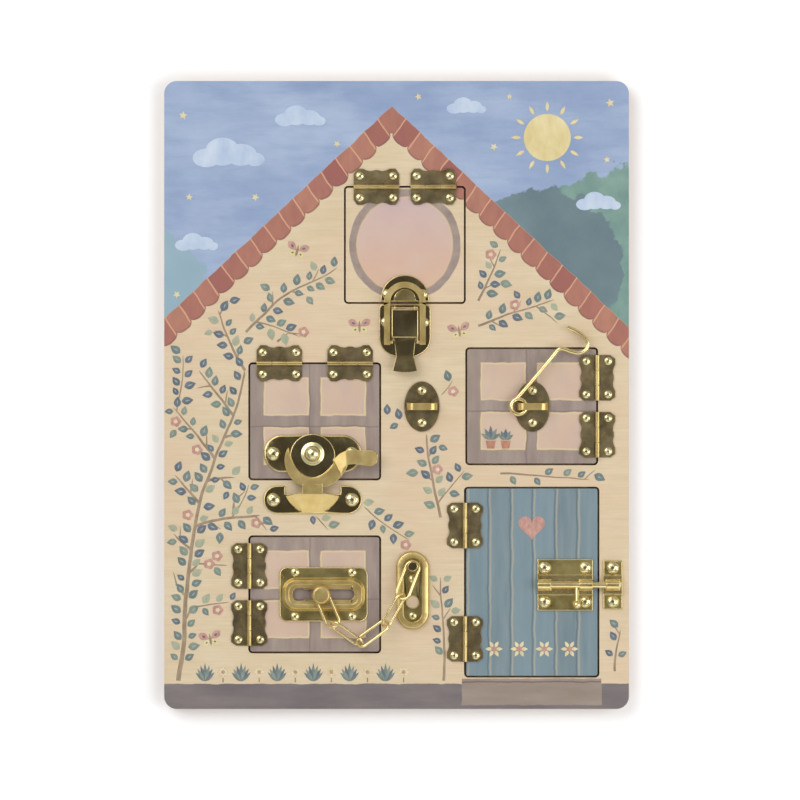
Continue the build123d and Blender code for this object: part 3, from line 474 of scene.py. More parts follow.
def finish_node(name, material, bevel=0.0, raised=None, level=0.0):
    """Give a node its material, and another to the faces a level above its lowest point."""
    node = nodes[name]
    mesh = node.data
    mesh.materials.clear()
    mesh.materials.append(material)
    # Faces that stand up get a lighter brass: partly their own finish, partly a painted highlight
    # where they catch the light
    if raised:
        mesh.materials.append(raised)
        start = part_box(name)[0].z + level * MM
        for face in mesh.polygons:
            face.material_index = 1 if face.center.z > start else 0
    mesh.polygons.foreach_set("use_smooth", [bool(bevel)] * len(mesh.polygons))
    if bevel:
        weld = node.modifiers.new("weld", "WELD")
        weld.merge_threshold = WELD_GAP * MM
        edge = node.modifiers.new("soft edge", "BEVEL")
        edge.width = bevel * MM
        edge.segments = EDGE_SEGMENTS
        edge.limit_method = "ANGLE"
        edge.angle_limit = EDGE_ANGLE
        edge.use_clamp_overlap = False
        node.modifiers.new("flat faces", "WEIGHTED_NORMAL").weight = FLAT_WEIGHT


finish_node("front_board", picture)
finish_node("back_panel", plywood)
for flap in FLAPS:
    finish_node(flap, picture)
    for side in ("_hinge_flap_leaves", "_hinge_frame_leaves"):
        # The knuckles' lighter brass is partly a painted highlight on the round barrels
        finish_node(flap + side, antique, LEAF_EDGE, knuckle, KNUCKLE_LEVEL)
    finish_node(flap + "_hinge_pins", bright, PIN_EDGE)

# Node, its finish, the width of its edge, and the lighter brass, partly a painted highlight, and
# level of what stands up from it
FITTINGS = (
    ("latch_catch", mirror, 0.2, satin_highlight, 1.2),
    ("latch_base", mirror, 0.2, satin_highlight, 1.4),
    ("latch_lever", mirror, 0.3),
    ("latch_bail", brushed_and_highlight, 0.18),
    ("latch_pivot_pin", bright, 0.2),
    ("sash_lock_base", mirror, 0.4),
    ("sash_lock_cam", mirror, 0.3, brushed_and_highlight, 2.2),
    ("sash_lock_rivet", pale, 0.1),
    ("sash_lock_keeper", mirror, 0.4, brushed_and_highlight, 1.4),
    ("chain_slide_plate", plate, 0.3, brushed_and_highlight, 1.2),
    ("chain_knob", brushed_and_highlight, 0.5),
    ("chain_anchor_plate", plate, 0.3, brushed_and_highlight, 1.2),
    ("chain_anchor_post", mirror, 0.3),
    ("hook_eye_plate", antique, 0.25, brushed_and_highlight, 1.3),
    ("hook_catch_plate", antique, 0.25, brushed_and_highlight, 1.3),
    ("bolt_plate", plate, 0.3, satin_highlight, 1.2),
    ("bolt_keeper", plate, 0.3, satin_highlight, 1.2),
    ("bolt_rod", bright, 0.2),
    ("bolt_knob", bright, 0.05),
)
for fitting in FITTINGS:
    finish_node(*fitting)
for name in nodes:
    if name.startswith("chain_link_"):
        finish_node(name, bright, LINK_EDGE)


# Round-headed screws with a cross slot, one group a body


def islands(mesh):
    """The loose parts of a mesh, as (lowest corner, highest corner) in millimetres."""
    parent = list(range(len(mesh.vertices)))

    def root(i):
        while parent[i] != i:
            parent[i] = parent[parent[i]]
            i = parent[i]
        return i

    seen = {}
    for vertex in mesh.vertices:
        key = tuple(round(c / MM, 3) for c in vertex.co)
        if key in seen:
            parent[root(vertex.index)] = root(seen[key])
        seen.setdefault(key, vertex.index)
    for edge in mesh.edges:
        parent[root(edge.vertices[0])] = root(edge.vertices[1])
    groups = {}
    for vertex in mesh.vertices:
        groups.setdefault(root(vertex.index), []).append(vertex.co / MM)
    boxes = []
    for points in groups.values():
        low = [min(p[k] for p in points) for k in range(3)]
        high = [max(p[k] for p in points) for k in range(3)]
        boxes.append((low, high))
    return sorted(boxes)


# Lines of a screw head's grid, as shares of its radius: they close up at the walls of the slot
SLOT_HALF = 0.12
SLOT_REACH = 0.56
SLOT_WALL = 0.04
HALF_LINES = (SLOT_HALF, SLOT_HALF + SLOT_WALL, 0.27, 0.41, SLOT_REACH, SLOT_REACH + SLOT_WALL,
              0.73, 0.86, 0.95, 1.0)
SCREW_LINES = [-line for line in reversed(HALF_LINES)] + list(HALF_LINES)
GRID_CORNER = pi * 0.75

# The head's spread over the solid's head, its height and dome, the slot's depth, and the shank
HEAD_SPREAD = 1.02
HEAD_HEIGHT = 0.56
HEAD_DOME = 0.9
SLOT_DEPTH = 0.5
SQUARE_CORE = 0.2
SHANK = 1.0
SHARP_ANGLE = radians(40)


def add_vertex(mesh, *place):
    """A vertex at a place in millimetres."""
    return mesh.verts.new([c * MM for c in place])


def add_object(name, data):
    made = bpy.data.objects.new(name, data)
    bpy.context.scene.collection.objects.link(made)
    return made


def add_mesh(name, mesh, material):
    data = bpy.data.meshes.new(name)
    mesh.to_mesh(data)
    mesh.free()
    data.materials.append(material)
    return add_object(name, data)


def add_screw(mesh, centre, seat, radius, height, bottom, turn):
    """A domed head with a cross slot and a short shank: a square grid rounded to a disc."""

    def place(u, v, level):
        wide = radius * (u * cos(turn) - v * sin(turn))
        high = radius * (u * sin(turn) + v * cos(turn))
        return add_vertex(mesh, centre[0] + wide, centre[1] + high, level)

    grid = []
    for v in SCREW_LINES:
        row = []
        for u in SCREW_LINES:
            square = max(abs(u), abs(v))
            blend = max(0.0, (square - SQUARE_CORE) / (1 - SQUARE_CORE))
            scale = 1 - blend + blend * square / hypot(u, v)
            flat = max(0.0, 1 - (hypot(u, v) * scale) ** 2)
            top = height * sqrt(flat) ** HEAD_DOME
            if min(abs(u), abs(v)) <= SLOT_HALF and square <= SLOT_REACH:
                top -= height * SLOT_DEPTH
            row.append(place(u * scale, v * scale, seat + top))
        grid.append(row)
    for low, high in zip(grid, grid[1:]):
        for k in range(len(low) - 1):
            mesh.faces.new((low[k], low[k + 1], high[k + 1], high[k]))
    rim = grid[0] + [row[-1] for row in grid[1:]]
    rim += grid[-1][-2::-1] + [row[0] for row in grid[-2:0:-1]]
    rings = [rim]
    reach = SHANK / radius
    for level in (seat, bottom):
        ring = []
        for k in range(len(rim)):
            angle = pi * 2 * k / len(rim) - GRID_CORNER
            ring.append(place(reach * cos(angle), reach * sin(angle), level))
        rings.append(ring)
    for outer, inner in zip(rings, rings[1:]):
        for k in range(len(rim)):
            after = (k + 1) % len(rim)
            mesh.faces.new((outer[k], inner[k], inner[after], outer[after]))
    mesh.faces.new(list(reversed(rings[-1])))


def piece(name, mesh, material, body):
    """An object of the scene's own, which rides on a body and fills a material slot."""
    made = add_mesh(name, mesh, material)
    made.data.polygons.foreach_set("use_smooth", [True] * len(made.data.polygons))
    made.data.set_sharp_from_angle(angle=SHARP_ANGLE)
    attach(made, body)
    return made


spin = random.Random(7)
for body in ["board", *FLAPS]:
    mesh = bmesh.new()
    for low, high in islands(nodes[body + "_screws"].data):
        centre = middle((*low[:2], *high[:2]))
        radius = (high[0] - low[0]) / 2 * HEAD_SPREAD
        height = radius * HEAD_HEIGHT
        turn = spin.uniform(0, pi / 2)
        add_screw(mesh, centre, high[2] - height, radius, height, low[2], turn)
    heads = piece(body + "_screw_heads", mesh, pale, body)
    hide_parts(body + "_screws")


# Round wires

WIRE_SIDES = 16
WIRE_STEPS = 6
TIP_REACH = 0.6


def angles(count):
    """Even steps of a full turn."""
    return [2 * pi * k / count for k in range(count)]


def turned(x, y, along, aside, angle):
    """The place that lies along and aside of another, once those directions are turned."""
    return (x + along * cos(angle) - aside * sin(angle),
            y + along * sin(angle) + aside * cos(angle))


def smooth_path(points):
    """Points on a smooth curve through the given ones."""
    last = len(points) - 1
    out = []
    for i in range(last):
        a, b, c, d = (Vector(points[min(max(k, 0), last)]) for k in (i - 1, i, i + 1, i + 2))
        for step in range(WIRE_STEPS):
            t = step / WIRE_STEPS
            out.append(b + (c - a) * (t / 2) + (a * 2 - b * 5 + c * 4 - d) * (t * t / 2)
                       + (b * 3 - a - c * 3 + d) * (t ** 3 / 2))
    out.append(Vector(points[-1]))
    return out


def add_band(mesh, first, second):
    """Faces between two closed rings of vertices."""
    for i in range(len(first)):
        j = (i + 1) % len(first)
        mesh.faces.new((first[i], first[j], second[j], second[i]))


def add_tube(mesh, points, radius, closed=False):
    """A round wire in a level plane, along points in metres, with blunt ends if it is open."""
    count = len(points)
    rings = []
    for i, point in enumerate(points):
        before = points[i - 1] if closed or i else point
        after = points[(i + 1) % count] if closed or i < count - 1 else point
        along = (after - before).normalized()
        side = Vector((-along.y, along.x, 0))
        ring = []
        for angle in angles(WIRE_SIDES):
            outward = side * cos(angle) + Vector((0, 0, sin(angle)))
            ring.append(mesh.verts.new(point + outward * radius))
        rings.append(ring)
    for first, second in zip(rings, rings[1:]):
        add_band(mesh, first, second)
    if closed:
        add_band(mesh, rings[-1], rings[0])
    else:
        for ring, end, inner in ((rings[0], points[0], points[1]),
                                 (rings[-1], points[-1], points[-2])):
            tip = mesh.verts.new(end + (end - inner).normalized() * radius * TIP_REACH)
            for k in range(WIRE_SIDES):
                mesh.faces.new((ring[k], ring[(k + 1) % WIRE_SIDES], tip))


# Painted highlight on the plates' edges: a fine bead of bright brass round the widest level face
# of each plate

RIM_RADIUS = 0.3
RIM_INSET = 0.3
RIM_SINK = 0.12
RIM_STEP = 0.3
RIM_LONGEST = 1.5
RIM_LEAST_AREA = 20
LEVEL_ROUNDING = 0.05
LEVEL_GAP = 0.02
UPWARD = 0.999
RIMS = (
    ("latch_base", "board"),
    ("latch_catch", "gable_window"),
    ("sash_lock_base", "left_window"),
    ("sash_lock_keeper", "board"),
    ("sash_lock_cam", "sash_cam"),
    ("chain_slide_plate", "lower_window"),
    ("bolt_plate", "front_door"),
    ("bolt_keeper", "board"),
    ("latch_lever", "latch_lever"),
)


def widest_level(mesh):
    """The height in millimetres at which a mesh has the most face turned straight up."""
    areas = {}
    for face in mesh.polygons:
        if face.normal.z > UPWARD:
            level = round(face.center.z / MM, 1)
            areas[level] = areas.get(level, 0) + face.area
    return max(areas, key=areas.get)


def outer_loops(mesh, level):
    """The outer outlines of a mesh's level faces at a height, anticlockwise, in millimetres."""
    edges = set()
    for face in mesh.polygons:
        off_level = abs(face.center.z / MM - level) > LEVEL_ROUNDING + LEVEL_GAP
        if face.normal.z < UPWARD or off_level:
            continue
        corners = []
        for index in face.vertices:
            co = mesh.vertices[index].co / MM
            corners.append((round(co.x, 2), round(co.y, 2)))
        for start, end in zip(corners, corners[1:] + corners[:1]):
            if (end, start) in edges:
                edges.remove((end, start))
            elif start != end:
                edges.add((start, end))
    follow = dict(sorted(edges))
    loops = []
    while follow:
        start = min(follow)
        loop = [start]
        while loop[-1] in follow:
            loop.append(follow.pop(loop[-1]))
        if loop[-1] != start:
            continue
        loop.pop()
        area = sum(a[0] * b[1] - b[0] * a[1] for a, b in zip(loop, loop[1:] + loop[:1]))
        if area > RIM_LEAST_AREA:
            loops.append(loop)
    return loops


def inset_loop(loop, inset):
    """A loop with even steps, moved inwards."""
    kept = []
    for a, b in zip(loop, loop[1:] + loop[:1]):
        steps = max(1, int(dist(a, b) / RIM_LONGEST))
        for step in range(steps):
            share = step / steps
            point = (a[0] + (b[0] - a[0]) * share, a[1] + (b[1] - a[1]) * share)
            if not kept or dist(point, kept[-1]) > RIM_STEP:
                kept.append(point)
    moved = []
    for before, point, after in zip(kept[-1:] + kept[:-1], kept, kept[1:] + kept[:1]):
        along = (after[0] - before[0], after[1] - before[1])
        length = hypot(*along) or 1.0
        moved.append((point[0] - along[1] / length * inset, point[1] + along[0] / length * inset))
    return moved


for rimmed, body in RIMS:
    highlight_rim_mesh = bmesh.new()
    level = widest_level(nodes[rimmed].data)
    for loop in outer_loops(nodes[rimmed].data, level):
        outline = inset_loop(loop, RIM_INSET)
        ring = [Vector((px, py, level - RIM_SINK)) * MM for px, py in outline]
        add_tube(highlight_rim_mesh, ring, RIM_RADIUS * MM, True)
    bmesh.ops.recalc_face_normals(highlight_rim_mesh, faces=highlight_rim_mesh.faces)
    # The bead's bright brass is a painted highlight along the plate's edge
    piece(rimmed + "_rim", highlight_rim_mesh, bright, body)


# The hook: one round wire with an eye and a smooth bend, laid out along its own shank

HOOK_EYE = 4.85
HOOK_WIRE = 1.3
HOOK_ANGLE = radians(50)
EYE_SIDES = 36
HOOK_PATH = ((1.2, 4.2), (12, 3.9), (26, 3.9), (38, 3.9), (43.4, 3.9), (46.2, 2.2), (48.4, -3.2),
             (50.9, -7.6), (55.4, -9.5), (59.6, -7.4), (60.7, -2.0), (60.1, 3.6), (58.8, 8.4))

hook_joint = next(joint for joint in frame["joints"] if joint["name"] == "hook_swing")
pivot = Vector(hook_joint["pos_m"])
hook_mesh = bmesh.new()
eye_points = []
for angle in angles(EYE_SIDES):
    eye_points.append(pivot + Vector((cos(angle), sin(angle), 0)) * HOOK_EYE * MM)
add_tube(hook_mesh, eye_points, HOOK_WIRE * MM, True)
shank = []
for along, aside in HOOK_PATH:
    shank.append(pivot + Vector((*turned(0, 0, along, aside, HOOK_ANGLE), 0)) * MM)
add_tube(hook_mesh, smooth_path(shank), HOOK_WIRE * MM)
bmesh.ops.recalc_face_normals(hook_mesh, faces=hook_mesh.faces)
hook_wire = piece("hook_wire", hook_mesh, bright, "hook")
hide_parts("hook")


# Painted motifs in low relief: where they may lie

EDGE_MARGIN = 1.2


def within(x, y, rect, margin):
    """Whether a place lies in a rectangle that is widened by a margin."""
    low_x, low_y, high_x, high_y = rect
    return low_x - margin < x < high_x + margin and low_y - margin < y < high_y + margin


def owner(x, y, reach):
    """The body under a motif, or None where it would cross a sawn edge or leave the board."""
    room = reach + EDGE_MARGIN
    for name, rect in rects.items():
        if within(x, y, rect, room):
            return name if within(x, y, rect, -room) else None
    return "board" if within(x, y, BOARD, -reach) else None


hardware_rects = []
for name in nodes:
    if name not in (*FLAPS, "front_board", "back_panel") and not name.endswith("_screws"):
        for low, high in islands(nodes[name].data):
            hardware_rects.append((*low[:2], *high[:2]))


def free_body(x, y, reach, shield):
    """The body under a motif, or None where it would cross an edge or come near hardware."""
    if any(within(x, y, rect, shield) for rect in hardware_rects):
        return None
    return owner(x, y, reach)


def below_roof(x, y):
    """How far a place lies below the roof's upper edge."""
    return (ROOF_APEX[1] - y - abs(x - ROOF_APEX[0]) * ROOF_SLOPE) / hypot(1, ROOF_SLOPE)


def on_wall(x, y, margin=0.0):
    return below_roof(x, y) > ROOF_BAND + TILE_DEPTH + margin and y > GROUND + 1


def in_sky(x, y, margin):
    return below_roof(x, y) < -margin


def has_room(x, y, places, room):
    return all(hypot(x - px, y - py) > room for px, py in places)


# Painted motifs in low relief: their outlines. Each lies a hair higher than the last

RELIEF = 0.22
SHINE_LIFT = 0.12
LAYERS = 12
LAYER_STEP = 0.008
SHOULDER_HEIGHT = 0.6
SHOULDER_WIDTH = 0.8
STEM_HEIGHT = 0.8
LEAF_STEPS = 7
LEAF_POINT = 0.8
STAR_POINTS = 5
STAR_WAIST = 0.45
HEART_SIDES = 36
HEART_HALF = 16

# Each mesh gathers a body's motifs of one colour
reliefs = collections.defaultdict(bmesh.new)
layer = itertools.cycle(range(LAYERS))


def add_outline(body, material, points, crown=0.0):
    """A closed outline in millimetres, raised from the face, with its middle a little higher."""
    mesh = reliefs[body, material]
    crown += next(layer) * LAYER_STEP
    centre_x = sum(p[0] for p in points) / len(points)
    centre_y = sum(p[1] for p in points) / len(points)
    low = [add_vertex(mesh, px, py, FRONT) for px, py in points]
    rim = []
    inner = []
    for px, py in points:
        rim.append(add_vertex(mesh, px, py, FRONT + RELIEF * SHOULDER_HEIGHT))
        ix = centre_x + (px - centre_x) * SHOULDER_WIDTH
        iy = centre_y + (py - centre_y) * SHOULDER_WIDTH
        inner.append(add_vertex(mesh, ix, iy, FRONT + RELIEF + crown))
    add_band(mesh, low, rim)
    add_band(mesh, rim, inner)
    mesh.faces.new(inner)
    mesh.faces.new(list(reversed(low)))


def add_ribbon(body, material, left, right):
    """A low ridge between two lines of points."""
    mesh = reliefs[body, material]
    rows = []
    for start, end in zip(left, right):
        ridge = ((start[0] + end[0]) / 2, (start[1] + end[1]) / 2)
        row = [(*start, FRONT), (*ridge, FRONT + RELIEF * STEM_HEIGHT), (*end, FRONT)]
        rows.append([add_vertex(mesh, *place) for place in row])
    for first, second in zip(rows, rows[1:]):
        for i, j in ((0, 1), (1, 2), (2, 0)):
            mesh.faces.new((first[i], second[i], second[j], first[j]))
    mesh.faces.new(rows[0])
    mesh.faces.new(list(reversed(rows[-1])))


def add_motif(material, points, x, y, reach, shield=True, crown=0.0):
    """An outline on the body under it, left out where it would cross an edge or hardware."""
    body = free_body(x, y, reach, reach) if shield else owner(x, y, reach)
    if body:
        add_outline(body, material, points, crown)


def polar(x, y, reach, angle):
    return x + reach * cos(angle), y + reach * sin(angle)


def leaf_outline(x, y, length, width, angle):
    points = []
    for side in (1, -1):
        for i in range(LEAF_STEPS):
            share = i / LEAF_STEPS if side == 1 else 1 - i / LEAF_STEPS
            half = width / 2 * sin(pi * share ** LEAF_POINT)
            points.append(turned(x, y, (share - 0.5) * length, side * half, angle))
    return points


def blob_outline(x, y, radius_x, radius_y, lobes=0, depth=0.0, count=28, turn=0.0):
    points = []
    for angle in angles(count):
        scale = 1 + depth * cos(lobes * angle)
        px = radius_x * scale * cos(angle)
        py = radius_y * scale * sin(angle)
        points.append(turned(x, y, px, py, turn))
    return points


def star_outline(x, y, radius, turn):
    points = []
    for i in range(2 * STAR_POINTS):
        reach = radius if i % 2 == 0 else radius * STAR_WAIST
        points.append(polar(x, y, reach, turn + pi * i / STAR_POINTS))
    return points


def heart_outline(x, y, size):
    """A heart of half-width size, by the usual sum of cosines."""
    points = []
    for t in angles(HEART_SIDES):
        px = HEART_HALF * sin(t) ** 3
        py = 13 * cos(t) - 5 * cos(2 * t) - 2 * cos(3 * t) - cos(4 * t)
        points.append((x + px * size / HEART_HALF, y + py * size / HEART_HALF))
    return points


# Climbers. Lengths are in millimetres and angles in radians

dice = random.Random(41)
LEAVES = ("leaf_green", "leaf_teal", "leaf_blue", "leaf_light", "leaf_teal", "leaf_blue")
STEP = 3.0
WANDER = 0.09
STEM_MARGIN = 4.0
STEM_REACH = 2.0
BOARD_MARGIN = 5
STEM_ROOM = 9.5
FREE_STEPS = 3
FEWEST_POINTS = 4
FIRST_RUN, LATER_RUN = 3, 5
STEM_THINS = 0.6
CUT_WIDTH = 0.3
SHOOT_LEVELS = 2
SHOOT_EVERY, SHOOT_FIRST = 5, 3
SHOOT_LEAN = (0.6, 1.0)
SHOOT_LENGTH = (0.3, 0.5)
SHOOT_WIDTH = 0.62
SHOOT_BEND = 0.03
SHOOT_FLOOR = 28.0
TUFT_TOP = 17.0
LEAF_LEAN = (0.7, 1.25)
LEAF_SIZE = (5.6, 8.0)
LEAF_OUT = 0.7
LEAF_ROOM = 6.2
LEAF_CLEAR = 0.52
LEAF_REACH = 0.5
LEAF_SHIELD = 0.45
LEAF_WIDTH = 0.66
SHINE_LENGTH, SHINE_WIDTH, SHINE_TURN = 0.46, 0.13, 0.12
ROSE_CHANCE = 0.1
ROSE_REACH = 3.8
taken = []
stem_line = []


def add_leaf(x, y, length, angle):
    """A teardrop leaf with a lighter stroke along its middle."""
    body = free_body(x, y, length * LEAF_REACH, length * LEAF_SHIELD)
    if body is None:
        return
    tone = dice.choice(LEAVES)
    add_outline(body, tone, leaf_outline(x, y, length, length * LEAF_WIDTH, angle))
    shine = leaf_outline(x, y, length * SHINE_LENGTH, length * SHINE_WIDTH, angle + SHINE_TURN)
    add_outline(body, "shine", shine, SHINE_LIFT)


def add_rose(x, y):
    add_motif("rose", blob_outline(x, y, 3.4, 3.2, 5, 0.09), x, y, ROSE_REACH)
    heart = blob_outline(x, y, 1.5, 1.4, 5, 0.1, 20)
    add_motif("cream", heart, x, y, ROSE_REACH, crown=SHINE_LIFT)


def add_stem(points, half):
    """A ribbon that narrows along a line of points, cut at sawn edges and at hardware."""
    runs = [[]]
    for index, (x, y) in enumerate(points):
        body = free_body(x, y, half, half)
        if body is None:
            runs.append([])
            continue
        if runs[-1] and runs[-1][-1][0] != body:
            runs.append([])
        runs[-1].append((body, x, y, half * (1 - STEM_THINS * index / len(points))))
    for run in runs:
        if len(run) < (FIRST_RUN if run == runs[0] else LATER_RUN):
            continue
        left, right = [], []
        for index, (body, x, y, width) in enumerate(run):
            if index == len(run) - 1 or (index == 0 and run != runs[0]):
                width *= CUT_WIDTH
            before = run[max(index - 1, 0)]
            after = run[min(index + 1, len(run) - 1)]
            angle = atan2(after[2] - before[2], after[1] - before[1]) + pi / 2
            left.append(polar(x, y, width, angle))
            right.append(polar(x, y, -width, angle))
        add_ribbon(run[0][0], "stem", left, right)


def leaf_fits(x, y, size):
    """Whether a leaf has the bare wall to itself, above the tufts and off the stems."""
    if not on_wall(x, y, size / 2) or owner(x, y, size / 2) != "board" or y < GROUND + TUFT_TOP:
        return False
    return has_room(x, y, taken, LEAF_ROOM) and has_room(x, y, stem_line, size * LEAF_CLEAR)


def grow(x, y, heading, length, half, level, bend=0.0):
    """A wandering stem with leaves on both sides, and smaller branches from it."""
    points = [(x, y)]
    shoots = []
    side = 1
    for index in range(1, int(length / STEP)):
        heading += bend + dice.uniform(-WANDER, WANDER)
        x, y = polar(x, y, STEP, heading)
        inside = on_wall(x, y, STEM_MARGIN) and abs(x) < BOARD[2] - BOARD_MARGIN
        if not inside or owner(x, y, STEM_REACH) != "board":
            break
        if index > FREE_STEPS and not has_room(x, y, stem_line, STEM_ROOM):
            break
        points.append((x, y))
        if level < SHOOT_LEVELS and index % SHOOT_EVERY == SHOOT_FIRST:
            side = -side
            shoots.append((x, y, heading + side * dice.uniform(*SHOOT_LEAN)))
    if len(points) < FEWEST_POINTS:
        return
    stem_line.extend(points)
    add_stem(points, half)
    for number, (x, y) in enumerate(points[2:]):
        px, py = points[number + 1]
        along = atan2(y - py, x - px)
        for turn in (1, -1):
            lean = along + turn * dice.uniform(*LEAF_LEAN)
            size = dice.uniform(*LEAF_SIZE)
            lx, ly = polar(x, y, half + size * LEAF_OUT, lean)
            if not leaf_fits(lx, ly, size):
                continue
            taken.append((lx, ly))
            if dice.random() < ROSE_CHANCE:
                add_rose(lx, ly)
            else:
                add_leaf(lx, ly, size, lean)
    for sx, sy, turned_to in shoots:
        if sy < GROUND + SHOOT_FLOOR:
            continue
        reach = length * dice.uniform(*SHOOT_LENGTH)
        bow = dice.uniform(-SHOOT_BEND, SHOOT_BEND)
        grow(sx, sy, turned_to, reach, half * SHOOT_WIDTH, level + 1, bow)


# At the left, between the columns and by the gable window: foot, heading, length, half-width
# of the stem, how many times it has branched already, and bend a step
CLIMBERS = (
    (-139, GROUND + 2, 1.5, 240, 1.5, 0, 0.0),
    (-104, -76, 1.5, 70, 1.0, 1, 0.01),
    (-96, 40, 0.85, 110, 0.9, 1, -0.01),
    (-76, 34, 0.6, 60, 0.8, 1, 0.01),
    (30, GROUND + 2, 1.55, 70, 0.9, 1, 0.0),
    (28, -78, 1.75, 88, 0.9, 1, 0.01),
    (52, 60, 1.0, 60, 0.8, 1, 0.02),
    (52, 44, 0.35, 60, 0.8, 1, 0.0),
    (-88, -82, 0.1, 84, 0.8, 1, 0.0),
    (66, -50, 0.05, 60, 0.7, 1, 0.0),
    (139, -176, 1.55, 40, 0.8, 1, 0.0),
)
for climber in CLIMBERS:
    grow(*climber)


# Potted sprigs in a window, and butterflies on free places of the wall

POT = ((-3.2, 5), (-2.3, 0), (2.3, 0), (3.2, 5))
POT_TOP = 5.6
SPRIG_LEAVES = 5
SPRIG_FAN = 0.5
SPRIG_DROOP = 0.09
SPRIG_REACH = 3.2
SPRIGS = ((15, 9.0), (24.5, 7.0))
SPRIG_FOOT = 9.5

BUTTERFLIES = 4
BUTTERFLY_SIZE = 7.5
BUTTERFLY_TILT = 0.6
BUTTERFLY_X, BUTTERFLY_Y = (-130, 135), (-160, 110)
LEAF_GAP, STEM_GAP, PERCH_GAP = 11, 9, 60
WALL_GAP, HARDWARE_GAP = 8, 9
WINGS = ((0.55, 1.0, "rose"), (-0.6, 0.72, "sun"))
WING_OUT = 0.6
WING_WIDTH = 0.62
WING_REACH = 0.5
SPOT_LENGTH, SPOT_WIDTH = 0.16, 0.1
BODY_WIDTH = 0.2


def add_sprig(x, y, height):
    """A potted sprig, painted on a window pane."""
    pot = [(x + dx, y + dy) for dx, dy in POT]
    add_motif("clay", pot, x, y + POT[0][1] / 2, SPRIG_REACH, crown=0.1)
    for leaf in range(SPRIG_LEAVES):
        off = leaf - SPRIG_LEAVES // 2
        fan = pi / 2 + off * SPRIG_FAN
        reach = height * (1 - SPRIG_DROOP * abs(off))
        px, py = polar(x, y + POT_TOP, reach * 0.5, fan)
        tone = ("leaf_teal", "leaf_green", "leaf_blue")[leaf % 3]
        blade = leaf_outline(px, py, reach, 2.6, fan)
        add_motif(tone, blade, px, py, SPRIG_REACH, crown=0.03 * leaf)


def add_butterfly(x, y, turn, size):
    """Two pairs of wings with spots, and a slim body."""
    reach = size * WING_REACH
    for spread, long, tone in WINGS:
        for angle in (turn + spread, turn + pi - spread):
            px, py = polar(x, y, size * WING_OUT * long, angle)
            wing = leaf_outline(px, py, size * long, size * WING_WIDTH * long, angle + pi)
            add_motif(tone, wing, px, py, reach)
            spot = blob_outline(px, py, size * SPOT_LENGTH * long, size * SPOT_WIDTH * long,
                                0, 0, 14, angle)
            add_motif("leaf_blue", spot, px, py, reach, crown=SHINE_LIFT)
    trunk = leaf_outline(x, y, size, size * BODY_WIDTH, turn + pi / 2)
    add_motif("stem", trunk, x, y, reach, crown=SHINE_LIFT)


right = rects["right_window"]
for sprig_x, sprig_high in SPRIGS:
    add_sprig(right[0] + sprig_x, right[1] + SPRIG_FOOT, sprig_high)
perches = []
while len(perches) < BUTTERFLIES:
    perch = (dice.uniform(*BUTTERFLY_X), dice.uniform(*BUTTERFLY_Y))
    free = (has_room(*perch, taken, LEAF_GAP) and has_room(*perch, stem_line, STEM_GAP)
            and has_room(*perch, perches, PERCH_GAP))
    bare = free_body(*perch, WALL_GAP, HARDWARE_GAP) == "board"
    if free and bare and on_wall(*perch, WALL_GAP):
        perches.append(perch)
        tilt = dice.uniform(-BUTTERFLY_TILT, BUTTERFLY_TILT)
        add_butterfly(*perch, tilt, BUTTERFLY_SIZE)


# Sky: a plain sun, clouds and stars

SUN = (96.0, 164.0)
SUN_RADIUS = 15.0
SUN_SIDES = 48
RAYS = 12
RAY_OUT = 5
RAY_LENGTH, RAY_WIDTH, RAY_REACH = 6.4, 2.2, 3.0
SKY_GAP = 1

# Middle and size of each cloud, and the middle and half-widths of the puffs that make one up
CLOUDS = ((-108, 152, 1.0), (-62, 176, 0.7), (128, 122, 0.62), (44, 183, 0.55), (-128, 96, 0.6))
PUFFS = ((-13, -1, 9, 6), (-3, 3, 11, 9), (9, 1, 10, 7), (18, -2, 6, 4.4))

# Middle and radius of each star
STARS = ((-136, 178, 3.0), (-90, 126, 2.6), (-132, 126, 2.4), (-38, 160, 2.4), (14, 190, 2.4),
         (62, 158, 2.6), (136, 186, 3.0), (134, 150, 2.4), (-140, 64, 2.6), (72, 190, 2.2))
STAR_TURN = 1.2

disc = blob_outline(*SUN, SUN_RADIUS, SUN_RADIUS, 0, 0, SUN_SIDES)
add_motif("sun", disc, *SUN, SUN_RADIUS, False)
for angle in angles(RAYS):
    rx, ry = polar(*SUN, SUN_RADIUS + RAY_OUT, angle)
    add_motif("sun", leaf_outline(rx, ry, RAY_LENGTH, RAY_WIDTH, angle), rx, ry, RAY_REACH, False)

for cx, cy, size in CLOUDS:
    for dx, dy, rx, ry in PUFFS:
        px, py = cx + dx * size, cy + dy * size
        if in_sky(px, py, rx * size + SKY_GAP):
            puff = blob_outline(px, py, rx * size, ry * size)
            add_motif("cloud", puff, px, py, rx * size, False, 0.02 * dx / 13)

for sx, sy, size in STARS:
    if in_sky(sx, sy, size + SKY_GAP):
        star = star_outline(sx, sy, size, dice.uniform(0, STAR_TURN))
        add_motif("cream", star, sx, sy, size, False)


# Flowers: daisies between tufts of grass at the foot of the wall, and a row on the door

Flower = collections.namedtuple(
    "Flower", "petals spread length width reach petal_lift heart sides heart_reach heart_lift")
DAISY = Flower(8, 2.3, 3.0, 1.5, 1.6, 0.02, 1.2, 12, 1.4, 0.2)
DOOR_FLOWER = Flower(6, 3.4, 4.4, 2.3, 2.4, 0.0, 1.9, 16, 2.0, 0.15)
DOOR_FLOWERS = (-24, -8, 8, 24)
DOOR_FLOWER_HEIGHT = 17
HEART_SIZE = 8.5
HEART_DROP = 24

FIRST_TUFT, LAST_TUFT, TUFT_PITCH = -122.0, 10, 23.0
BLADES = 7
BLADE_FAN = 0.27
BLADE_LENGTH, BLADE_WIDTH, BLADE_REACH = 11.5, 2.3, 3.2
BLADE_SHORTER = 1.1
BLADE_MIDDLE = 0.52
BLADE_FOOT = 1.5
BLADE_LIFT = 0.03
DAISY_ALONG, DAISY_HEIGHT = 11.5, 7.5
DAISY_STEM = (0, 1.5, 3, 4.5)
DAISY_STEM_HALF = 0.5


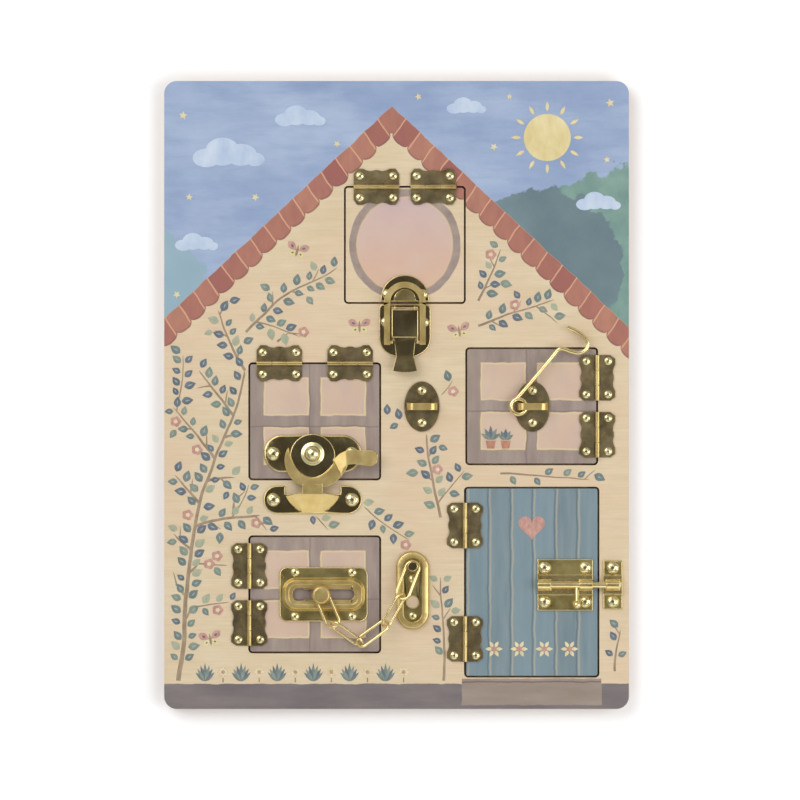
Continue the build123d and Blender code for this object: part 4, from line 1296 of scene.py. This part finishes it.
def add_flower(x, y, kind):
    for petal in range(kind.petals):
        angle = pi / (kind.petals / 2) * petal
        px, py = polar(x, y, kind.spread, angle)
        outline = leaf_outline(px, py, kind.length, kind.width, angle)
        add_motif("cream", outline, px, py, kind.reach, crown=kind.petal_lift * (petal % 2))
    heart = blob_outline(x, y, kind.heart, kind.heart, 0, 0, kind.sides)
    add_motif("rose", heart, x, y, kind.heart_reach, crown=kind.heart_lift)


tuft_x = FIRST_TUFT
while tuft_x < LAST_TUFT:
    for blade in range(BLADES):
        off = blade - BLADES // 2
        fan = pi / 2 + off * BLADE_FAN
        long = BLADE_LENGTH - abs(off) * BLADE_SHORTER
        bx, by = polar(tuft_x, GROUND + BLADE_FOOT, long * BLADE_MIDDLE, fan)
        tone = ("leaf_teal", "leaf_blue", "leaf_green")[blade % 3]
        outline = leaf_outline(bx, by, long, BLADE_WIDTH, fan)
        add_motif(tone, outline, bx, by, BLADE_REACH, crown=BLADE_LIFT * (blade % 3))
    daisy_x = tuft_x + DAISY_ALONG
    add_stem([(daisy_x, GROUND + 1 + step) for step in DAISY_STEM], DAISY_STEM_HALF)
    add_flower(daisy_x, GROUND + DAISY_HEIGHT, DAISY)
    tuft_x += TUFT_PITCH

door = rects["front_door"]
door_x = middle(door)[0]
heart_y = door[3] - HEART_DROP
heart = heart_outline(door_x, heart_y, HEART_SIZE)
add_motif("rose", heart, door_x, heart_y, HEART_SIZE, crown=0.1)
for offset in DOOR_FLOWERS:
    add_flower(door_x + offset, door[1] + DOOR_FLOWER_HEIGHT, DOOR_FLOWER)

for (body, material), mesh in reliefs.items():
    bmesh.ops.recalc_face_normals(mesh, faces=mesh.faces)
    piece("paint_" + body + "_" + material, mesh, enamels[material], body)


# Floor, light and camera, in metres

FLOOR_HALF = 6.0
FLOOR_DROP = 0.0004

# Name, place, size and power of each light. All look at the board
LIGHTS = (
    ("key", (-0.9, 0.8, 1.3), (1.6, 1.6), 17.5),
    ("fill", (1.1, -0.2, 1.1), (1.1, 1.4), 11),
    ("front", (0.1, -1.3, 0.9), (1.8, 0.9), 4),
)

# Height of a direction, and how bright the studio is there: pale walls, a dark band above
# them, a pale ceiling, and a dark opening straight overhead
WORLD_GREYS = ((0.0, 1.0), (0.3, 0.8), (0.42, 0.35), (0.55, 0.4), (0.66, 1.0), (0.9, 1.0),
               (0.955, 0.3), (0.985, 0.1))
WORLD_STRENGTH = 0.66

# The photograph is 800 pixels wide, at 0.637 mm a pixel on the board's face
VIEW_WIDTH = 0.637 * 800 * MM
VIEW_CENTRE = (2.2 * MM, -3.2 * MM)
DISTANCE = 3.0
FARTHEST = 20.0


floor_mesh = bmesh.new()
bmesh.ops.create_grid(floor_mesh, x_segments=1, y_segments=1, size=FLOOR_HALF)
floor = add_mesh("floor", floor_mesh, floor_material("floor"))
floor.location = (0, 0, -FLOOR_DROP)

for name, place, size, power in LIGHTS:
    light = bpy.data.lights.new(name, "AREA")
    light.shape = "RECTANGLE"
    light.size, light.size_y = size
    light.energy = power
    lamp = add_object(name, light)
    lamp.location = place
    lamp.rotation_euler = (-Vector(place)).to_track_quat("-Z", "Y").to_euler()

world = bpy.data.worlds.new("studio")
world.use_nodes = True
sky_tree = world.node_tree
background = sky_tree.nodes["Background"]
direction = sky_tree.nodes.new("ShaderNodeTexCoord")
split = sky_tree.nodes.new("ShaderNodeSeparateXYZ")
sky_tree.links.new(direction.outputs["Generated"], split.inputs[0])
ramp = sky_tree.nodes.new("ShaderNodeValToRGB")
sky_tree.links.new(split.outputs[2], ramp.inputs[0])
stops = ramp.color_ramp.elements
stops[1].position = WORLD_GREYS[-1][0]
for height, _ in WORLD_GREYS[1:-1]:
    stops.new(height)
for stop, (_, grey) in zip(stops, WORLD_GREYS):
    stop.color = (grey, grey, grey, 1)
sky_tree.links.new(ramp.outputs[0], background.inputs[0])
background.inputs[1].default_value = WORLD_STRENGTH
bpy.context.scene.world = world

camera_data = bpy.data.cameras.new("camera")
camera_data.lens = camera_data.sensor_width * DISTANCE / VIEW_WIDTH
camera_data.clip_end = FARTHEST
camera = add_object("camera", camera_data)
camera.location = (*VIEW_CENTRE, FRONT * MM + DISTANCE)
bpy.context.scene.camera = camera
bpy.context.scene.view_settings.view_transform = "Standard"
